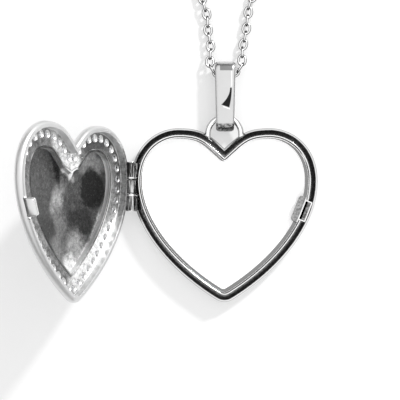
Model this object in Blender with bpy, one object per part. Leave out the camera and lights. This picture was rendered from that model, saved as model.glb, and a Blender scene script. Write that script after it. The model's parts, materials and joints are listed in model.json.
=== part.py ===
"""Heart locket with a hinged cover, a strap bail and a fine chain with a spring ring clasp.

The locket lies on its flat back at z = 0. +X points away from the hinge, +Y towards the chain.
The origin is the centre of the flat back. Sizes below are in millimetres.
"""

import math

import bmesh
import bpy
from mathutils import Matrix, Vector

MM = 0.001  # metres in a millimetre

# ---- Overall sizes -------------------------------------------------------------------------
LIP_WIDTH = 24.55  # across the lip line that both halves share
LIP_HEIGHT = 22.72  # lobe tops to tip along the lip line
RIM_WIDTH = 0.95  # from the lip line to the widest part of either half's wall
PARTING_Z = 2.6  # height of the plane where the two halves meet
COVER_DEPTH = 1.62  # parting plane to the outside of the cover's border
OPEN_ANGLE = 121.0  # cover's angle from closed, as it rests

# ---- Clearances ----------------------------------------------------------------------------
GAP = 0.05  # between pieces that are soldered, set or pressed together
RUNNING = 0.08  # between pieces that turn or slide on each other

# ---- Heart outline, as shares of LIP_WIDTH and LIP_HEIGHT -----------------------------------
NOTCH_DEPTH = 0.1436
LOBE_ACROSS = 0.2663  # lobe top from the middle line
WIDEST_DOWN = 0.2885  # widest level below the lobe tops
NOTCH_ANGLE = 42.0  # degrees, slope of the line leaving the notch
TIP_ANGLE = 31.6  # degrees, slope of the line reaching the tip
TIP_RADIUS = 1.2
CENTRE_DOWN = 0.4385  # centre of the outline's rays, below the lobe tops
LOBE_TOP_Y = 11.29  # lobe tops of the lip line, from the origin
RING_POINTS = 72  # points round one outline

# ---- Back half -----------------------------------------------------------------------------
FLOOR = 0.6  # thickness of the back plate
LIP_RISE = 0.35  # lip above the parting plane
LIP_WALL = 0.25
RIM_SLOPE = 0.54  # fall of the back's sloping rim, from the lip line outwards
RIM_FLAT = 0.5  # flat part of the cover's rim, outside the lip line
CARD_THICKNESS = 0.2
CARD_INSET = 0.62  # card edge inside the lip line
CARD_SHIFT = (-0.14, 0.2)  # where the loose card lies in the recess

# ---- Cover ---------------------------------------------------------------------------------
COVER_WALL = 0.52  # thickness of the border plate
BORDER_WIDTH = 2.35  # lip line to the opening for the raised heart
CUP_STEP = 0.65  # border's inner face down to the edge of the heart's floor
CUP_WALL = 0.33
CUP_SHEET = 0.4
CUP_DOME = 0.75
STONE_INSET = 0.8  # lip line to the line of the stones
STONE_PITCH = 1.46
STONE_SIZE = 1.2
STONE_TABLE = 0.7
STONE_HEIGHT = 0.42
STONE_PROUD = 0.1  # table above the border's outer face
SEAT_HOLE = 0.86
SEAT_FLOOR = 0.17

# ---- Hinge ---------------------------------------------------------------------------------
KNUCKLE_RADIUS = 0.8
PIN_RADIUS = 0.35
HINGE_OUTSET = 0.08  # axis beyond the widest part of the wall
HINGE_BELOW_WIDEST = 0.8  # middle of the hinge below the widest level
OUTER_KNUCKLE = 2.5
MIDDLE_KNUCKLE = 1.9
FOOT_MARGIN = 0.15  # from the end of a solder foot to the lip line
FOOT_HEIGHT = 0.45
FOOT_SHORTER = 0.3  # foot shorter than its tube

# ---- Catch ---------------------------------------------------------------------------------
CATCH_ANGLE = 94.25  # degrees from the notch, clockwise, where the catch sits on the lip line
SLOT_LENGTH = 2.7
SLOT_WIDTH = 0.8
SLOT_WALL = 0.16
LEDGE_WIDTH = 0.95
LEDGE_LENGTH = 3.8
LEDGE_DROP = 0.75  # ledge below the lip's top
HOUSING_DROP = 1.95  # bottom of the housing below the lip's top
TAB_THICKNESS = 0.2
TAB_SPACE = 0.2
TAB_LENGTH = 2.54
TAB_REACH = 1.15  # below the parting plane when closed
TAB_ROOT = 0.07  # let into the border

# ---- Hanging ring and bail -----------------------------------------------------------------
RING_RADIUS = 2.36  # to the middle of the wire
RING_WIRE = 0.39
RING_Z = 1.55
RING_LEG = 0.55  # length of each leg let into the wall
BAIL_ACROSS = 0.1  # middle of the bail along X
BAIL_BELOW = 2.05  # bail's lower end below the ring's wire
BAIL_LENGTH = 10.05
BAIL_TOP_WIDTH = 2.84
BAIL_END_WIDTH = 2.56
BAIL_TOP_HEIGHT = 2.7
BAIL_END_HEIGHT = 2.55
BAIL_STRAP = 0.42

# ---- Chain and clasp -----------------------------------------------------------------------
CHAIN_RADIUS = 0.65
COIL_CENTRE = (-14.0, 45.0)
COIL_RADIUS = 7.2  # to the middle of the turns
COIL_ACROSS = 7.4
COIL_HEIGHT = 2.75
CLASP_CENTRE = (8.0, 40.5, 1.35)
CLASP_RADIUS = 2.1  # to the middle of the tube
CLASP_TUBE = 0.75
CLASP_BORE = 0.52
CLASP_MOUTH = 50.0  # degrees of open mouth, centred on +X
BOLT_RADIUS = 0.42
BOLT_TRAVEL = 45.0
LINK_WIRE = 0.22

# Routes of the chain, chosen by hand, centre of the chain.
BAIL_ROUTE = [
    (-2.06, 22.0, 1.15), (-2.0, 21.2, 1.3), (-1.3, 20.3, 1.4), (0.1, 19.85, 1.42),
    (1.6, 20.35, 1.4), (2.42, 21.2, 1.3), (2.52, 22.0, 1.15),
]
LEFT_ROUTE = [
    (-2.05, 22.33, 1.1), (-1.95, 23.9, 0.8), (-2.3, 26.3, 0.67), (-2.5, 28.6, 0.67),
    (-3.05, 30.5, 0.67), (-3.55, 33.5, 0.67), (-3.75, 36.5, 0.67), (-3.75, 38.7, 0.67),
]
RIGHT_ROUTE = [
    (2.54, 22.33, 1.1), (2.63, 23.9, 0.8), (3.05, 25.9, 0.67), (3.35, 28.2, 0.67),
    (3.76, 30.5, 0.67), (5.2, 33.0, 0.67), (6.9, 34.6, 0.72), (7.9, 36.2, 1.1),
]
TAIL_ROUTE = [
    (-3.4, 39.9, 2.02), (-2.3, 40.35, 1.75), (-0.9, 40.6, 1.1), (0.2, 40.6, 0.85),
    (1.45, 40.5, 1.2),
]

# ---- Colours -------------------------------------------------------------------------------
SILVER = ((0.86, 0.86, 0.87), 0.08, 1.0)
STEEL = ((0.7, 0.7, 0.72), 0.2, 1.0)
PAPER = ((0.93, 0.93, 0.92), 0.6, 0.0)
CRYSTAL = ((0.9, 0.92, 0.95), 0.03, 0.0)


# ---- Scene and materials -------------------------------------------------------------------
def clear_scene():
    for item in list(bpy.data.objects):
        bpy.data.objects.remove(item, do_unlink=True)


def finish_material(item, look):
    colour, roughness, metallic = look
    material = bpy.data.materials.new(item.name)
    material.use_nodes = True
    shader = material.node_tree.nodes["Principled BSDF"]
    shader.inputs["Base Color"].default_value = (*colour, 1.0)
    shader.inputs["Roughness"].default_value = roughness
    shader.inputs["Metallic"].default_value = metallic
    item.data.materials.append(material)


def add_object(name, data, look=None):
    item = bpy.data.objects.new(name, data)
    bpy.context.scene.collection.objects.link(item)
    if look:
        finish_material(item, look)
    return item


def mesh_object(name, work, look=None):
    """An object from a bmesh built in millimetres."""
    bmesh.ops.recalc_face_normals(work, faces=work.faces)
    bmesh.ops.transform(work, matrix=Matrix.Scale(MM, 4), verts=work.verts)
    mesh = bpy.data.meshes.new(name)
    work.to_mesh(mesh)
    work.free()
    mesh.shade_smooth()
    mesh.set_sharp_from_angle(angle=math.radians(35.0))
    return add_object(name, mesh, look)


def cut(item, *cutters):
    for cutter in cutters:
        boolean(item, cutter, "DIFFERENCE")


def join(item, *others):
    for other in others:
        boolean(item, other, "UNION")


def boolean(item, other, operation):
    other.hide_render = True
    other.display_type = "WIRE"
    modifier = item.modifiers.new(other.name, "BOOLEAN")
    modifier.solver = "EXACT"
    modifier.operation = operation
    modifier.object = other


# ---- Heart outline -------------------------------------------------------------------------
def bezier(start, leave, arrive, end, count):
    """Points along one cubic curve, without its last point."""
    points = []
    for step in range(count):
        t = step / count
        s = 1.0 - t
        points.append(
            start * s**3 + leave * 3 * s * s * t + arrive * 3 * s * t * t + end * t**3
        )
    return points


LOBE_Y = LIP_HEIGHT * CENTRE_DOWN
RAY_Y = LOBE_TOP_Y - LOBE_Y  # ray centre in the locket's own frame


def right_half(count=90):
    """The lip line from the notch to the tip, about the ray centre."""
    slope = math.radians(NOTCH_ANGLE)
    fall = math.radians(TIP_ANGLE)
    notch = Vector((0.0, LOBE_Y - NOTCH_DEPTH * LIP_HEIGHT))
    lobe = Vector((LOBE_ACROSS * LIP_WIDTH, LOBE_Y))
    widest = Vector((LIP_WIDTH / 2, LOBE_Y - WIDEST_DOWN * LIP_HEIGHT))
    tip_y = LOBE_Y - LIP_HEIGHT
    tip_centre = Vector((0.0, tip_y + TIP_RADIUS))
    flank = tip_centre + TIP_RADIUS * Vector((math.sin(fall), -math.cos(fall)))
    leave = Vector((math.cos(slope), math.sin(slope)))
    arrive = Vector((math.cos(fall), math.sin(fall)))
    across = widest.x - lobe.x
    drop = lobe.y - widest.y
    points = bezier(
        notch, notch + leave * lobe.x * 0.54, lobe - Vector((lobe.x * 0.52, 0)), lobe, count
    )
    points += bezier(
        lobe, lobe + Vector((across * 0.44, 0)), widest + Vector((0, drop * 0.7)), widest, count
    )
    points += bezier(
        widest, widest - Vector((0, drop * 0.93)), flank + arrive * LIP_WIDTH * 0.3, flank, count
    )
    for step in range(count // 3 + 1):
        turn = fall * (1 - step / (count // 3))
        points.append(tip_centre + TIP_RADIUS * Vector((math.sin(turn), -math.cos(turn))))
    return points


def moved_out(points, distance):
    """The half outline moved outwards, trimmed at the middle line and closed onto it."""
    moved = []
    for i, point in enumerate(points):
        before = points[max(i - 1, 0)]
        after = points[min(i + 1, len(points) - 1)]
        along = (after - before).normalized()
        moved.append(point + distance * Vector((-along.y, along.x)))
    trimmed = []
    for first, second in zip(moved, moved[1:]):
        if (first.x > 0) != (second.x > 0):
            share = first.x / (first.x - second.x)
            trimmed.append(first.lerp(second, share))
        if second.x > 0:
            trimmed.append(second)
    if moved[0].x > 0:
        rounded = [points[0] + distance * Vector((0, 1)), moved[0]]
        trimmed = rounded + trimmed
    if moved[-1].x > 0 or abs(trimmed[-1].x) > 1e-6:
        trimmed.append(points[-1] + distance * Vector((0, -1)))
    return trimmed


def ray_angles():
    """Angles from the notch, clockwise, of points spaced evenly along the lip line."""
    points = right_half()
    lengths = [0.0]
    for first, second in zip(points, points[1:]):
        lengths.append(lengths[-1] + (second - first).length)
    half = RING_POINTS // 2
    angles = []
    for step in range(half + 1):
        target = lengths[-1] * step / half
        i = max(k for k, length in enumerate(lengths) if length <= target + 1e-9)
        angles.append(math.atan2(points[i].x, points[i].y))
    angles[0] = 0.0
    angles[-1] = math.pi
    return angles


def radii(distance, angles):
    """Distance from the ray centre to the moved outline at each angle."""
    outline = moved_out(right_half(), distance)
    polar = [(math.atan2(max(p.x, 0.0), p.y), p.length) for p in outline]
    found = []
    for angle in angles:
        found.append(radius_at(polar, angle))
    return found


def radius_at(polar, angle):
    for (a, first), (b, second) in zip(polar, polar[1:]):
        if a <= angle <= b and b > a:
            return first + (second - first) * (angle - a) / (b - a)
    return polar[0][1] if angle <= polar[0][0] else polar[-1][1]


ANGLES = ray_angles()
OUTLINES = {}


def ring(distance, z, shift=(0.0, 0.0), scale=1.0):
    """One closed outline at a distance outside the lip line, as points in the locket's frame."""
    key = round(distance, 4)
    if key not in OUTLINES:
        OUTLINES[key] = radii(distance, ANGLES)
    right = []
    for angle, radius in zip(ANGLES, OUTLINES[key]):
        right.append((radius * scale * math.sin(angle), radius * scale * math.cos(angle)))
    left = [(-x, y) for x, y in reversed(right[1:-1])]
    return [Vector((x + shift[0], y + RAY_Y + shift[1], z)) for x, y in right + left]


def lip_point(angle_degrees, distance=0.0):
    """A point on a moved outline and the outward direction there."""
    angle = math.radians(angle_degrees)
    close = [angle - 0.01, angle, angle + 0.01]
    before, here, after = [
        Vector((r * math.sin(a), r * math.cos(a))) for a, r in zip(close, radii(distance, close))
    ]
    along = (after - before).normalized()
    return Vector((here.x, here.y + RAY_Y)), Vector((-along.y, along.x))


# ---- Solids from rings ---------------------------------------------------------------------
def loft(name, rings, look=None, closed=False, apexes=(None, None)):
    """A solid through rings of the same number of points. closed joins last to first; otherwise
    both ends are capped by fans, about the two apexes where they are given."""
    work = bmesh.new()
    loops = [[work.verts.new(point) for point in points] for points in rings]
    pairs = list(zip(loops, loops[1:]))
    if closed:
        pairs.append((loops[-1], loops[0]))
    for lower, upper in pairs:
        for i in range(len(lower)):
            k = (i + 1) % len(lower)
            work.faces.new((lower[i], lower[k], upper[k], upper[i]))
    if not closed:
        cap(work, loops[0], apexes[0])
        cap(work, loops[-1], apexes[1])
    return mesh_object(name, work, look)


def cap(work, loop, apex):
    middle = Vector((0.0, 0.0, 0.0))
    for vertex in loop:
        middle += vertex.co / len(loop)
    centre = work.verts.new(apex or middle)
    for i in range(len(loop)):
        work.faces.new((loop[i], loop[(i + 1) % len(loop)], centre))


def block(name, size, matrix, look=None):
    """A box of the given size whose own centre and axes are set by matrix, in millimetres."""
    work = bmesh.new()
    bmesh.ops.create_cube(work, size=1.0)
    bmesh.ops.scale(work, vec=Vector(size), verts=work.verts)
    bmesh.ops.transform(work, matrix=matrix, verts=work.verts)
    return mesh_object(name, work, look)


def tube(name, outer, inner, length, matrix, look=None, sides=20):
    """A tube along its own Z, or a rod where inner is 0."""
    profile = [(outer, -length / 2), (outer, length / 2)]
    if inner:
        profile += [(inner, length / 2), (inner, -length / 2)]
    rings = []
    for radius, z in profile:
        turns = [2 * math.pi * i / sides for i in range(sides)]
        rings.append([matrix @ Vector((radius * math.cos(a), radius * math.sin(a), z)) for a in turns])
    return loft(name, rings, look, closed=bool(inner))


def bent_rod(name, radius, bore, start, end, centre, bend, look=None, sides=12, steps=24):
    """A rod, or a tube with a bore, bent about Z from one angle to another, in degrees."""
    full = end - start >= 360.0
    count = steps if full else steps + 1
    outer, inner = [], []
    for i in range(count):
        turn = math.radians(start + (end - start) * i / steps)
        out = Vector((math.cos(turn), math.sin(turn), 0.0))
        for size, rings in ((radius, outer), (bore, inner)):
            rings.append(
                [
                    Vector(centre)
                    + out * (bend + size * math.cos(2 * math.pi * k / sides))
                    + Vector((0, 0, size * math.sin(2 * math.pi * k / sides)))
                    for k in range(sides)
                ]
            )
    if bore:
        return loft(name, outer + inner[::-1], look, closed=True)
    return loft(name, outer, look, closed=full)


def hang_on_axis(name, centre, items):
    """Parent pieces, and the shapes that cut or join them, to an empty on their joint's axis."""
    axis = add_object(name, None)
    axis.location = Vector(centre) * MM
    still = Matrix.Translation(axis.location).inverted()
    helpers = [modifier.object for item in items for modifier in item.modifiers
               if modifier.type == "BOOLEAN"]
    for item in items + helpers:
        item.parent = axis
        item.matrix_parent_inverse = still
    return axis


def smooth_route(points, spacing):
    """Points about one spacing apart on a smooth curve through the route's own points."""
    route = [Vector(p) for p in points]
    ends = [route[0] * 2 - route[1]] + route + [route[-1] * 2 - route[-2]]
    fine = []
    for a, b, c, d in zip(ends, ends[1:], ends[2:], ends[3:]):
        count = max(1, round((c - b).length / spacing))
        for i in range(count):
            t = i / count
            fine.append(
                0.5 * (2 * b + (c - a) * t + (2 * a - 5 * b + 4 * c - d) * t**2
                       + (3 * b - a - 3 * c + d) * t**3)
            )
    fine.append(route[-1])
    return fine


def chain_tube(name, route):
    """A stretch of chain as a plain round tube."""
    curve = bpy.data.curves.new(name, "CURVE")
    curve.dimensions = "3D"
    curve.bevel_depth = CHAIN_RADIUS * MM
    curve.bevel_resolution = 2
    curve.use_fill_caps = True
    points = smooth_route(route, CHAIN_RADIUS * 2)
    spline = curve.splines.new("POLY")
    spline.points.add(len(points) - 1)
    for target, point in zip(spline.points, points):
        target.co = (*(point * MM), 1.0)
    return add_object(name, curve, STEEL)


# ---- Places shared by several pieces ---------------------------------------------------------
WIDEST_Y = LOBE_Y + RAY_Y - WIDEST_DOWN * LIP_HEIGHT
HINGE_X = -(LIP_WIDTH / 2 + RIM_WIDTH + HINGE_OUTSET)
HINGE_Y = WIDEST_Y - HINGE_BELOW_WIDEST
HINGE_Z = PARTING_Z + GAP / 2
LIP_TOP = PARTING_Z + LIP_RISE
ACROSS_Y = Matrix.Rotation(math.pi / 2, 4, "X")  # turns a tube's own Z onto Y


def hinge_place(y=0.0):
    return Matrix.Translation((HINGE_X, HINGE_Y + y, HINGE_Z))


def catch_place(outwards=0.0, z=0.0):
    """Axes at the catch: own X outwards across the lip line, own Y along it."""
    point, out = lip_point(CATCH_ANGLE)
    spot = point + out * outwards
    turn = Matrix.Rotation(math.atan2(out.y, out.x), 4, "Z")
    return Matrix.Translation((spot.x, spot.y, z)) @ turn


def ring_centre_y():
    """The ring's legs enter the wall where it stands at the ring's own radius."""
    best = min(
        (abs(p.x - RING_RADIUS), p.y) for p in ring(RIM_WIDTH, 0.0)[: RING_POINTS // 4] if p.x > 0
    )
    return best[1]


RING_Y = ring_centre_y()
PIVOT_Y = RING_Y + RING_RADIUS


# ---- Back half -----------------------------------------------------------------------------
def hinge_channel(name):
    """Room round the hinge tubes, cut in both shells."""
    length = 2 * OUTER_KNUCKLE + MIDDLE_KNUCKLE + 4 * RUNNING
    return tube(name, KNUCKLE_RADIUS + RUNNING, 0.0, length, hinge_place() @ ACROSS_Y)


def foot(name, y, length, side, grow=0.0):
    """Solder foot of a hinge tube. side is 1 in the cover and -1 in the back."""
    reach = HINGE_OUTSET + RIM_WIDTH - FOOT_MARGIN
    size = (reach + grow * 2, length - FOOT_SHORTER + grow * 2, FOOT_HEIGHT + grow)
    middle = side * (FOOT_HEIGHT / 2 + GAP + grow / 2 + KNUCKLE_RADIUS * 0.25)
    return block(name, size, hinge_place(y) @ Matrix.Translation((reach / 2, 0, middle)))


def knuckle(name, y, length, side):
    bore = PIN_RADIUS + (RUNNING if side > 0 else GAP)
    item = tube(name, KNUCKLE_RADIUS, bore, length, hinge_place(y) @ ACROSS_Y, SILVER)
    base = foot(name + "_foot", y, length, side)
    bore_again = tube(name + "_bore", bore, 0.0, length * 2, hinge_place(y) @ ACROSS_Y)
    join(item, base)
    cut(item, bore_again)
    return item


def outer_knuckle_y():
    return MIDDLE_KNUCKLE / 2 + RUNNING + OUTER_KNUCKLE / 2


def housing_blocks(prefix, grow=0.0):
    """The slotted box on the lip line, and the low ledge inside it."""
    top = LIP_TOP
    height = HOUSING_DROP
    width = SLOT_WIDTH + 2 * SLOT_WALL
    box_size = (width + 2 * grow, SLOT_LENGTH + 2 * SLOT_WALL + 2 * grow, height + 2 * grow)
    box = block(prefix + "_box", box_size, catch_place(0.0, top - height / 2))
    ledge_height = height - LEDGE_DROP
    ledge_size = (
        LEDGE_WIDTH + width / 2 + 2 * grow, LEDGE_LENGTH + 2 * grow, ledge_height + 2 * grow
    )
    ledge_in = -(LEDGE_WIDTH + width / 2) / 2
    ledge_z = top - height + ledge_height / 2
    ledge = block(prefix + "_ledge", ledge_size, catch_place(ledge_in, ledge_z))
    return box, ledge


def make_catch_housing():
    box, ledge = housing_blocks("housing")
    item = block("catch_housing", (SLOT_WIDTH, SLOT_LENGTH, HOUSING_DROP - 0.2),
                 catch_place(0.0, LIP_TOP - HOUSING_DROP / 2), SILVER)
    join(item, box, ledge)
    depth = HOUSING_DROP - 0.3
    slot = block("catch_slot", (SLOT_WIDTH, SLOT_LENGTH, depth * 2), catch_place(0.0, LIP_TOP))
    cut(item, slot)
    return item


def hanging_ring_curve(name, radius, leg, look=None):
    """Arched wire over the notch: two short legs into the wall and half a circle."""
    points = [Vector((RING_RADIUS, -leg, 0)), Vector((RING_RADIUS, -leg / 2, 0))]
    steps = 14
    for i in range(steps + 1):
        turn = math.pi * i / steps
        points.append(Vector((math.cos(turn), math.sin(turn), 0)) * RING_RADIUS)
    points += [Vector((-RING_RADIUS, -leg / 2, 0)), Vector((-RING_RADIUS, -leg, 0))]
    sides = 12
    rings = []
    for i, point in enumerate(points):
        before = points[max(i - 1, 0)]
        after = points[min(i + 1, len(points) - 1)]
        along = (after - before).normalized()
        out = Vector((along.y, -along.x, 0))
        centre = point + Vector((0, RING_Y, RING_Z))
        rings.append(
            [
                centre + out * radius * math.cos(2 * math.pi * k / sides)
                + Vector((0, 0, radius * math.sin(2 * math.pi * k / sides)))
                for k in range(sides)
            ]
        )
    return loft(name, rings, look)


def make_back_shell():
    edge = RIM_WIDTH
    top = PARTING_Z
    profile = [
        (-2.6, 0.0), (-0.55, 0.0), (0.05, 0.12), (0.5, 0.42), (0.8, 0.85), (edge, 1.3),
        (edge - 0.02, 1.65), (edge - 0.08, top - RIM_SLOPE - 0.12),
        (edge - 0.19, top - RIM_SLOPE), (GAP + 0.02, top), (GAP, top), (GAP, FLOOR),
        (-2.6, FLOOR),
    ]
    rings = [ring(distance, z) for distance, z in profile]
    item = loft("back_shell", rings, SILVER)
    cut(item, hinge_channel("back_channel"))
    for number, y in enumerate((outer_knuckle_y(), -outer_knuckle_y())):
        cut(item, foot("back_foot_%d" % number, y, OUTER_KNUCKLE, -1, GAP))
    cut(item, *housing_blocks("back_pocket", GAP))
    cut(item, hanging_ring_curve("ring_pockets", RING_WIRE + GAP, RING_LEG + GAP))
    return item


def make_inner_bezel():
    top = LIP_TOP
    profile = [
        (0.0, FLOOR + GAP), (0.0, top - 0.07), (-0.06, top), (-LIP_WALL + 0.06, top),
        (-LIP_WALL, top - 0.07), (-LIP_WALL - 0.05, FLOOR + GAP),
    ]
    item = loft("inner_bezel", [ring(d, z) for d, z in profile], SILVER, closed=True)
    cut(item, *housing_blocks("bezel_pocket", GAP))
    return item


def make_photo_card():
    low = FLOOR + GAP
    rings = [ring(-CARD_INSET, z, CARD_SHIFT) for z in (low, low + CARD_THICKNESS)]
    return loft("photo_card", rings, PAPER)


# ---- Cover, modelled closed ------------------------------------------------------------------
COVER_Z = PARTING_Z + GAP  # the cover's rim
BORDER_IN = PARTING_Z + COVER_DEPTH - COVER_WALL  # border's inner face
BORDER_OUT = PARTING_Z + COVER_DEPTH  # border's outer face


def stone_line():
    """Centres and directions of the stones, evenly along their line, from the notch round."""
    points = moved_out(right_half(), -STONE_INSET)
    lengths = [0.0]
    for first, second in zip(points, points[1:]):
        lengths.append(lengths[-1] + (second - first).length)
    count = max(8, 2 * round(lengths[-1] / STONE_PITCH / 2))
    found = []
    for number in range(count * 4 + 1):
        target = lengths[-1] * number / (count * 4)
        i = max(k for k, length in enumerate(lengths) if length <= target + 1e-9)
        k = min(i, len(points) - 2)
        along = (points[k + 1] - points[k]).normalized()
        share = (target - lengths[k]) / max((points[k + 1] - points[k]).length, 1e-9)
        here = points[k].lerp(points[k + 1], share)
        found.append((Vector((here.x, here.y + RAY_Y)), along))
    return count, found


def make_stone_strip(name, first, last, side):
    """Stones first to last of one side, joined at their girdles into a single strip."""
    count, line = stone_line()
    table_z = BORDER_OUT + STONE_PROUD
    girdle_z = table_z - STONE_HEIGHT * 0.35
    base_z = table_z - STONE_HEIGHT
    rings = []
    for step in range(first * 4 + 1, last * 4):
        here, along = line[step]
        swell = {0: 0.22, 1: 0.72, 2: 1.0, 3: 0.72}[step % 4]
        across = Vector((-along.y, along.x))
        rings.append(
            [
                stone_corner(here, across, offset * swell, z, side)
                for offset, z in (
                    (-STONE_SIZE / 2, girdle_z), (-STONE_TABLE / 2, table_z),
                    (STONE_TABLE / 2, table_z), (STONE_SIZE / 2, girdle_z), (0.0, base_z),
                )
            ]
        )
    return loft(name, rings, CRYSTAL)


def stone_corner(here, across, offset, z, side):
    spot = here + across * offset
    return Vector((spot.x * side, spot.y, z))


def make_seat_holes():
    """One round hole under each stone, as a single cutter."""
    count, line = stone_line()
    work = bmesh.new()
    for number in range(count):
        here, _ = line[number * 4 + 2]
        for side in (1, -1):
            place = Matrix.Translation((here.x * side, here.y, BORDER_IN))
            bmesh.ops.create_cone(
                work, cap_ends=True, segments=8, radius1=SEAT_HOLE / 2, radius2=SEAT_HOLE / 2,
                depth=SEAT_FLOOR * 4, matrix=place,
            )
    return mesh_object("seat_holes", work)


def make_cover_shell():
    edge = RIM_WIDTH
    groove_out = -STONE_INSET + STONE_SIZE / 2 + GAP
    groove_in = -STONE_INSET - STONE_SIZE / 2 - GAP
    groove_z = BORDER_IN + SEAT_FLOOR
    profile = [
        (GAP, COVER_Z), (RIM_FLAT, COVER_Z), (edge - 0.22, COVER_Z + 0.1),
        (edge - 0.06, COVER_Z + 0.32), (edge, COVER_Z + 0.7), (edge - 0.1, BORDER_OUT - 0.46),
        (edge - 0.34, BORDER_OUT - 0.18), (edge - 0.7, BORDER_OUT - 0.03),
        (groove_out, BORDER_OUT), (groove_out, groove_z), (groove_in, groove_z),
        (groove_in, BORDER_OUT), (-BORDER_WIDTH, BORDER_OUT + 0.04), (-BORDER_WIDTH, BORDER_IN),
        (-0.02, BORDER_IN), (GAP, BORDER_IN - 0.1),
    ]
    item = loft("cover_shell", [ring(d, z) for d, z in profile], SILVER, closed=True)
    cut(item, make_seat_holes())
    cut(item, hinge_channel("cover_channel"))
    cut(item, foot("cover_foot", 0.0, MIDDLE_KNUCKLE, 1, GAP))
    cut(item, catch_pocket())
    return item


def catch_pocket():
    """Room in the cover's rim for the top of the catch's box and the roots of the tabs."""
    low, high = PARTING_Z - LIP_RISE, BORDER_IN + TAB_ROOT + GAP
    around = 2 * SLOT_WALL + 2 * RUNNING
    size = (SLOT_WIDTH + around, SLOT_LENGTH + around, high - low)
    return block("catch_pocket", size, catch_place(0.0, (low + high) / 2))


def make_cover_center():
    """A cup: its wall stands in the border's opening and its floor is domed outwards."""
    out = -BORDER_WIDTH - GAP
    inside = out - CUP_WALL
    floor = BORDER_IN + CUP_STEP
    shares = [0.92, 0.75, 0.5, 0.25]
    rings = [ring(inside, floor + 0.03 + CUP_DOME * (1 - s * s), scale=s) for s in reversed(shares)]
    rings.append(ring(inside, floor))
    rings.append(ring(inside, BORDER_IN))
    rings.append(ring(out, BORDER_IN))
    rings.append(ring(out, floor + CUP_SHEET * 0.6))
    for share in [0.97] + shares[:]:
        z = floor + CUP_SHEET + 0.03 + CUP_DOME * (1 - share * share)
        rings.append(ring(out, z, scale=share))
    peak = floor + 0.03 + CUP_DOME
    apexes = (Vector((0, RAY_Y, peak)), Vector((0, RAY_Y, peak + CUP_SHEET)))
    return loft("cover_center", rings, SILVER, apexes=apexes)


def make_catch_tab(name, side):
    """One of the two tongue tabs, hanging from the border into the catch's slot."""
    top = BORDER_IN + TAB_ROOT
    bottom = PARTING_Z - TAB_REACH
    across = side * (TAB_SPACE + TAB_THICKNESS) / 2
    size = (TAB_THICKNESS, TAB_LENGTH, top - bottom)
    item = block(name, size, catch_place(across, (top + bottom) / 2), SILVER)
    bevel = item.modifiers.new("rounded edges", "BEVEL")
    bevel.width = TAB_THICKNESS * 0.25 * MM
    bevel.segments = 1
    return item


# ---- Bail ------------------------------------------------------------------------------------
def make_bail():
    """A strap bent into a flat loop, wider and deeper at the chain's end."""
    end_y = PIVOT_Y - BAIL_BELOW
    stations = loop_stations(end_y, end_y + BAIL_LENGTH)
    rings = []
    for y, z, normal_y, normal_z, width in stations:
        half = width / 2
        soft = BAIL_STRAP * 0.3
        section = [
            (-half, soft), (-half + soft, 0.0), (half - soft, 0.0), (half, soft),
            (half, BAIL_STRAP - soft), (half - soft, BAIL_STRAP), (-half + soft, BAIL_STRAP),
            (-half, BAIL_STRAP - soft),
        ]
        rings.append(
            [
                Vector((BAIL_ACROSS + x, y - normal_y * depth, z - normal_z * depth))
                for x, depth in section
            ]
        )
    return loft("bail", rings, SILVER, closed=True)


def loop_stations(low, high):
    """Outside of the loop: y, z, outward direction and strap width at each station."""
    low_half, high_half = BAIL_END_HEIGHT / 2, BAIL_TOP_HEIGHT / 2
    found = []
    bend_steps = 8
    straight_steps = 3
    for i in range(bend_steps + 1):
        turn = -math.pi / 2 + math.pi * i / bend_steps
        found.append((high - high_half, high_half, turn))
    for i in range(1, straight_steps):
        found.append((i / straight_steps, None, math.pi / 2))
    for i in range(bend_steps + 1):
        turn = math.pi / 2 + math.pi * i / bend_steps
        found.append((low + low_half, low_half, turn))
    for i in range(1, straight_steps):
        found.append((1 - i / straight_steps, None, -math.pi / 2))
    stations = []
    for place, half, turn in found:
        if half is None:
            y = (high - high_half) * (1 - place) + (low + low_half) * place
            depth = high_half * (1 - place) + low_half * place
        else:
            y = place + half * math.cos(turn)
            depth = half
        z = RING_Z + depth * math.sin(turn)
        share = (y - low) / (high - low)
        width = BAIL_END_WIDTH + (BAIL_TOP_WIDTH - BAIL_END_WIDTH) * share
        stations.append((y, z, math.cos(turn), math.sin(turn), width))
    return stations


# ---- Chain and clasp -------------------------------------------------------------------------
def make_chain_coil():
    low, high = GAP, COIL_HEIGHT
    inner, outer = COIL_RADIUS - COIL_ACROSS / 2, COIL_RADIUS + COIL_ACROSS / 2
    soft = CHAIN_RADIUS * 0.6
    profile = [
        (inner, low + soft), (inner + soft, low), (outer - soft, low), (outer, low + soft),
        (outer, high - soft), (outer - soft, high), (inner + soft, high), (inner, high - soft),
    ]
    sides = 40
    rings = []
    for radius, z in profile:
        turns = [2 * math.pi * i / sides for i in range(sides)]
        rings.append(
            [
                Vector((COIL_CENTRE[0] + radius * math.cos(a), COIL_CENTRE[1] + radius * math.sin(a), z))
                for a in turns
            ]
        )
    return loft("chain_coil", rings, STEEL, closed=True)


TAB_AT = CLASP_MOUTH / 2 + 35.0  # angle of the bolt's thumb tab, in degrees
BOLT_TAIL = TAB_AT + 25.0  # angle of the bolt's hidden end


def make_clasp_body():
    half_mouth = CLASP_MOUTH / 2
    body = bent_rod(
        "clasp_body", CLASP_TUBE, CLASP_BORE, half_mouth, 360 - half_mouth, CLASP_CENTRE,
        CLASP_RADIUS, STEEL,
    )
    cut(body, bent_slot("clasp_tab_slot", TAB_AT - 12, TAB_AT + BOLT_TRAVEL + 12, 0.3))
    return body


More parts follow.
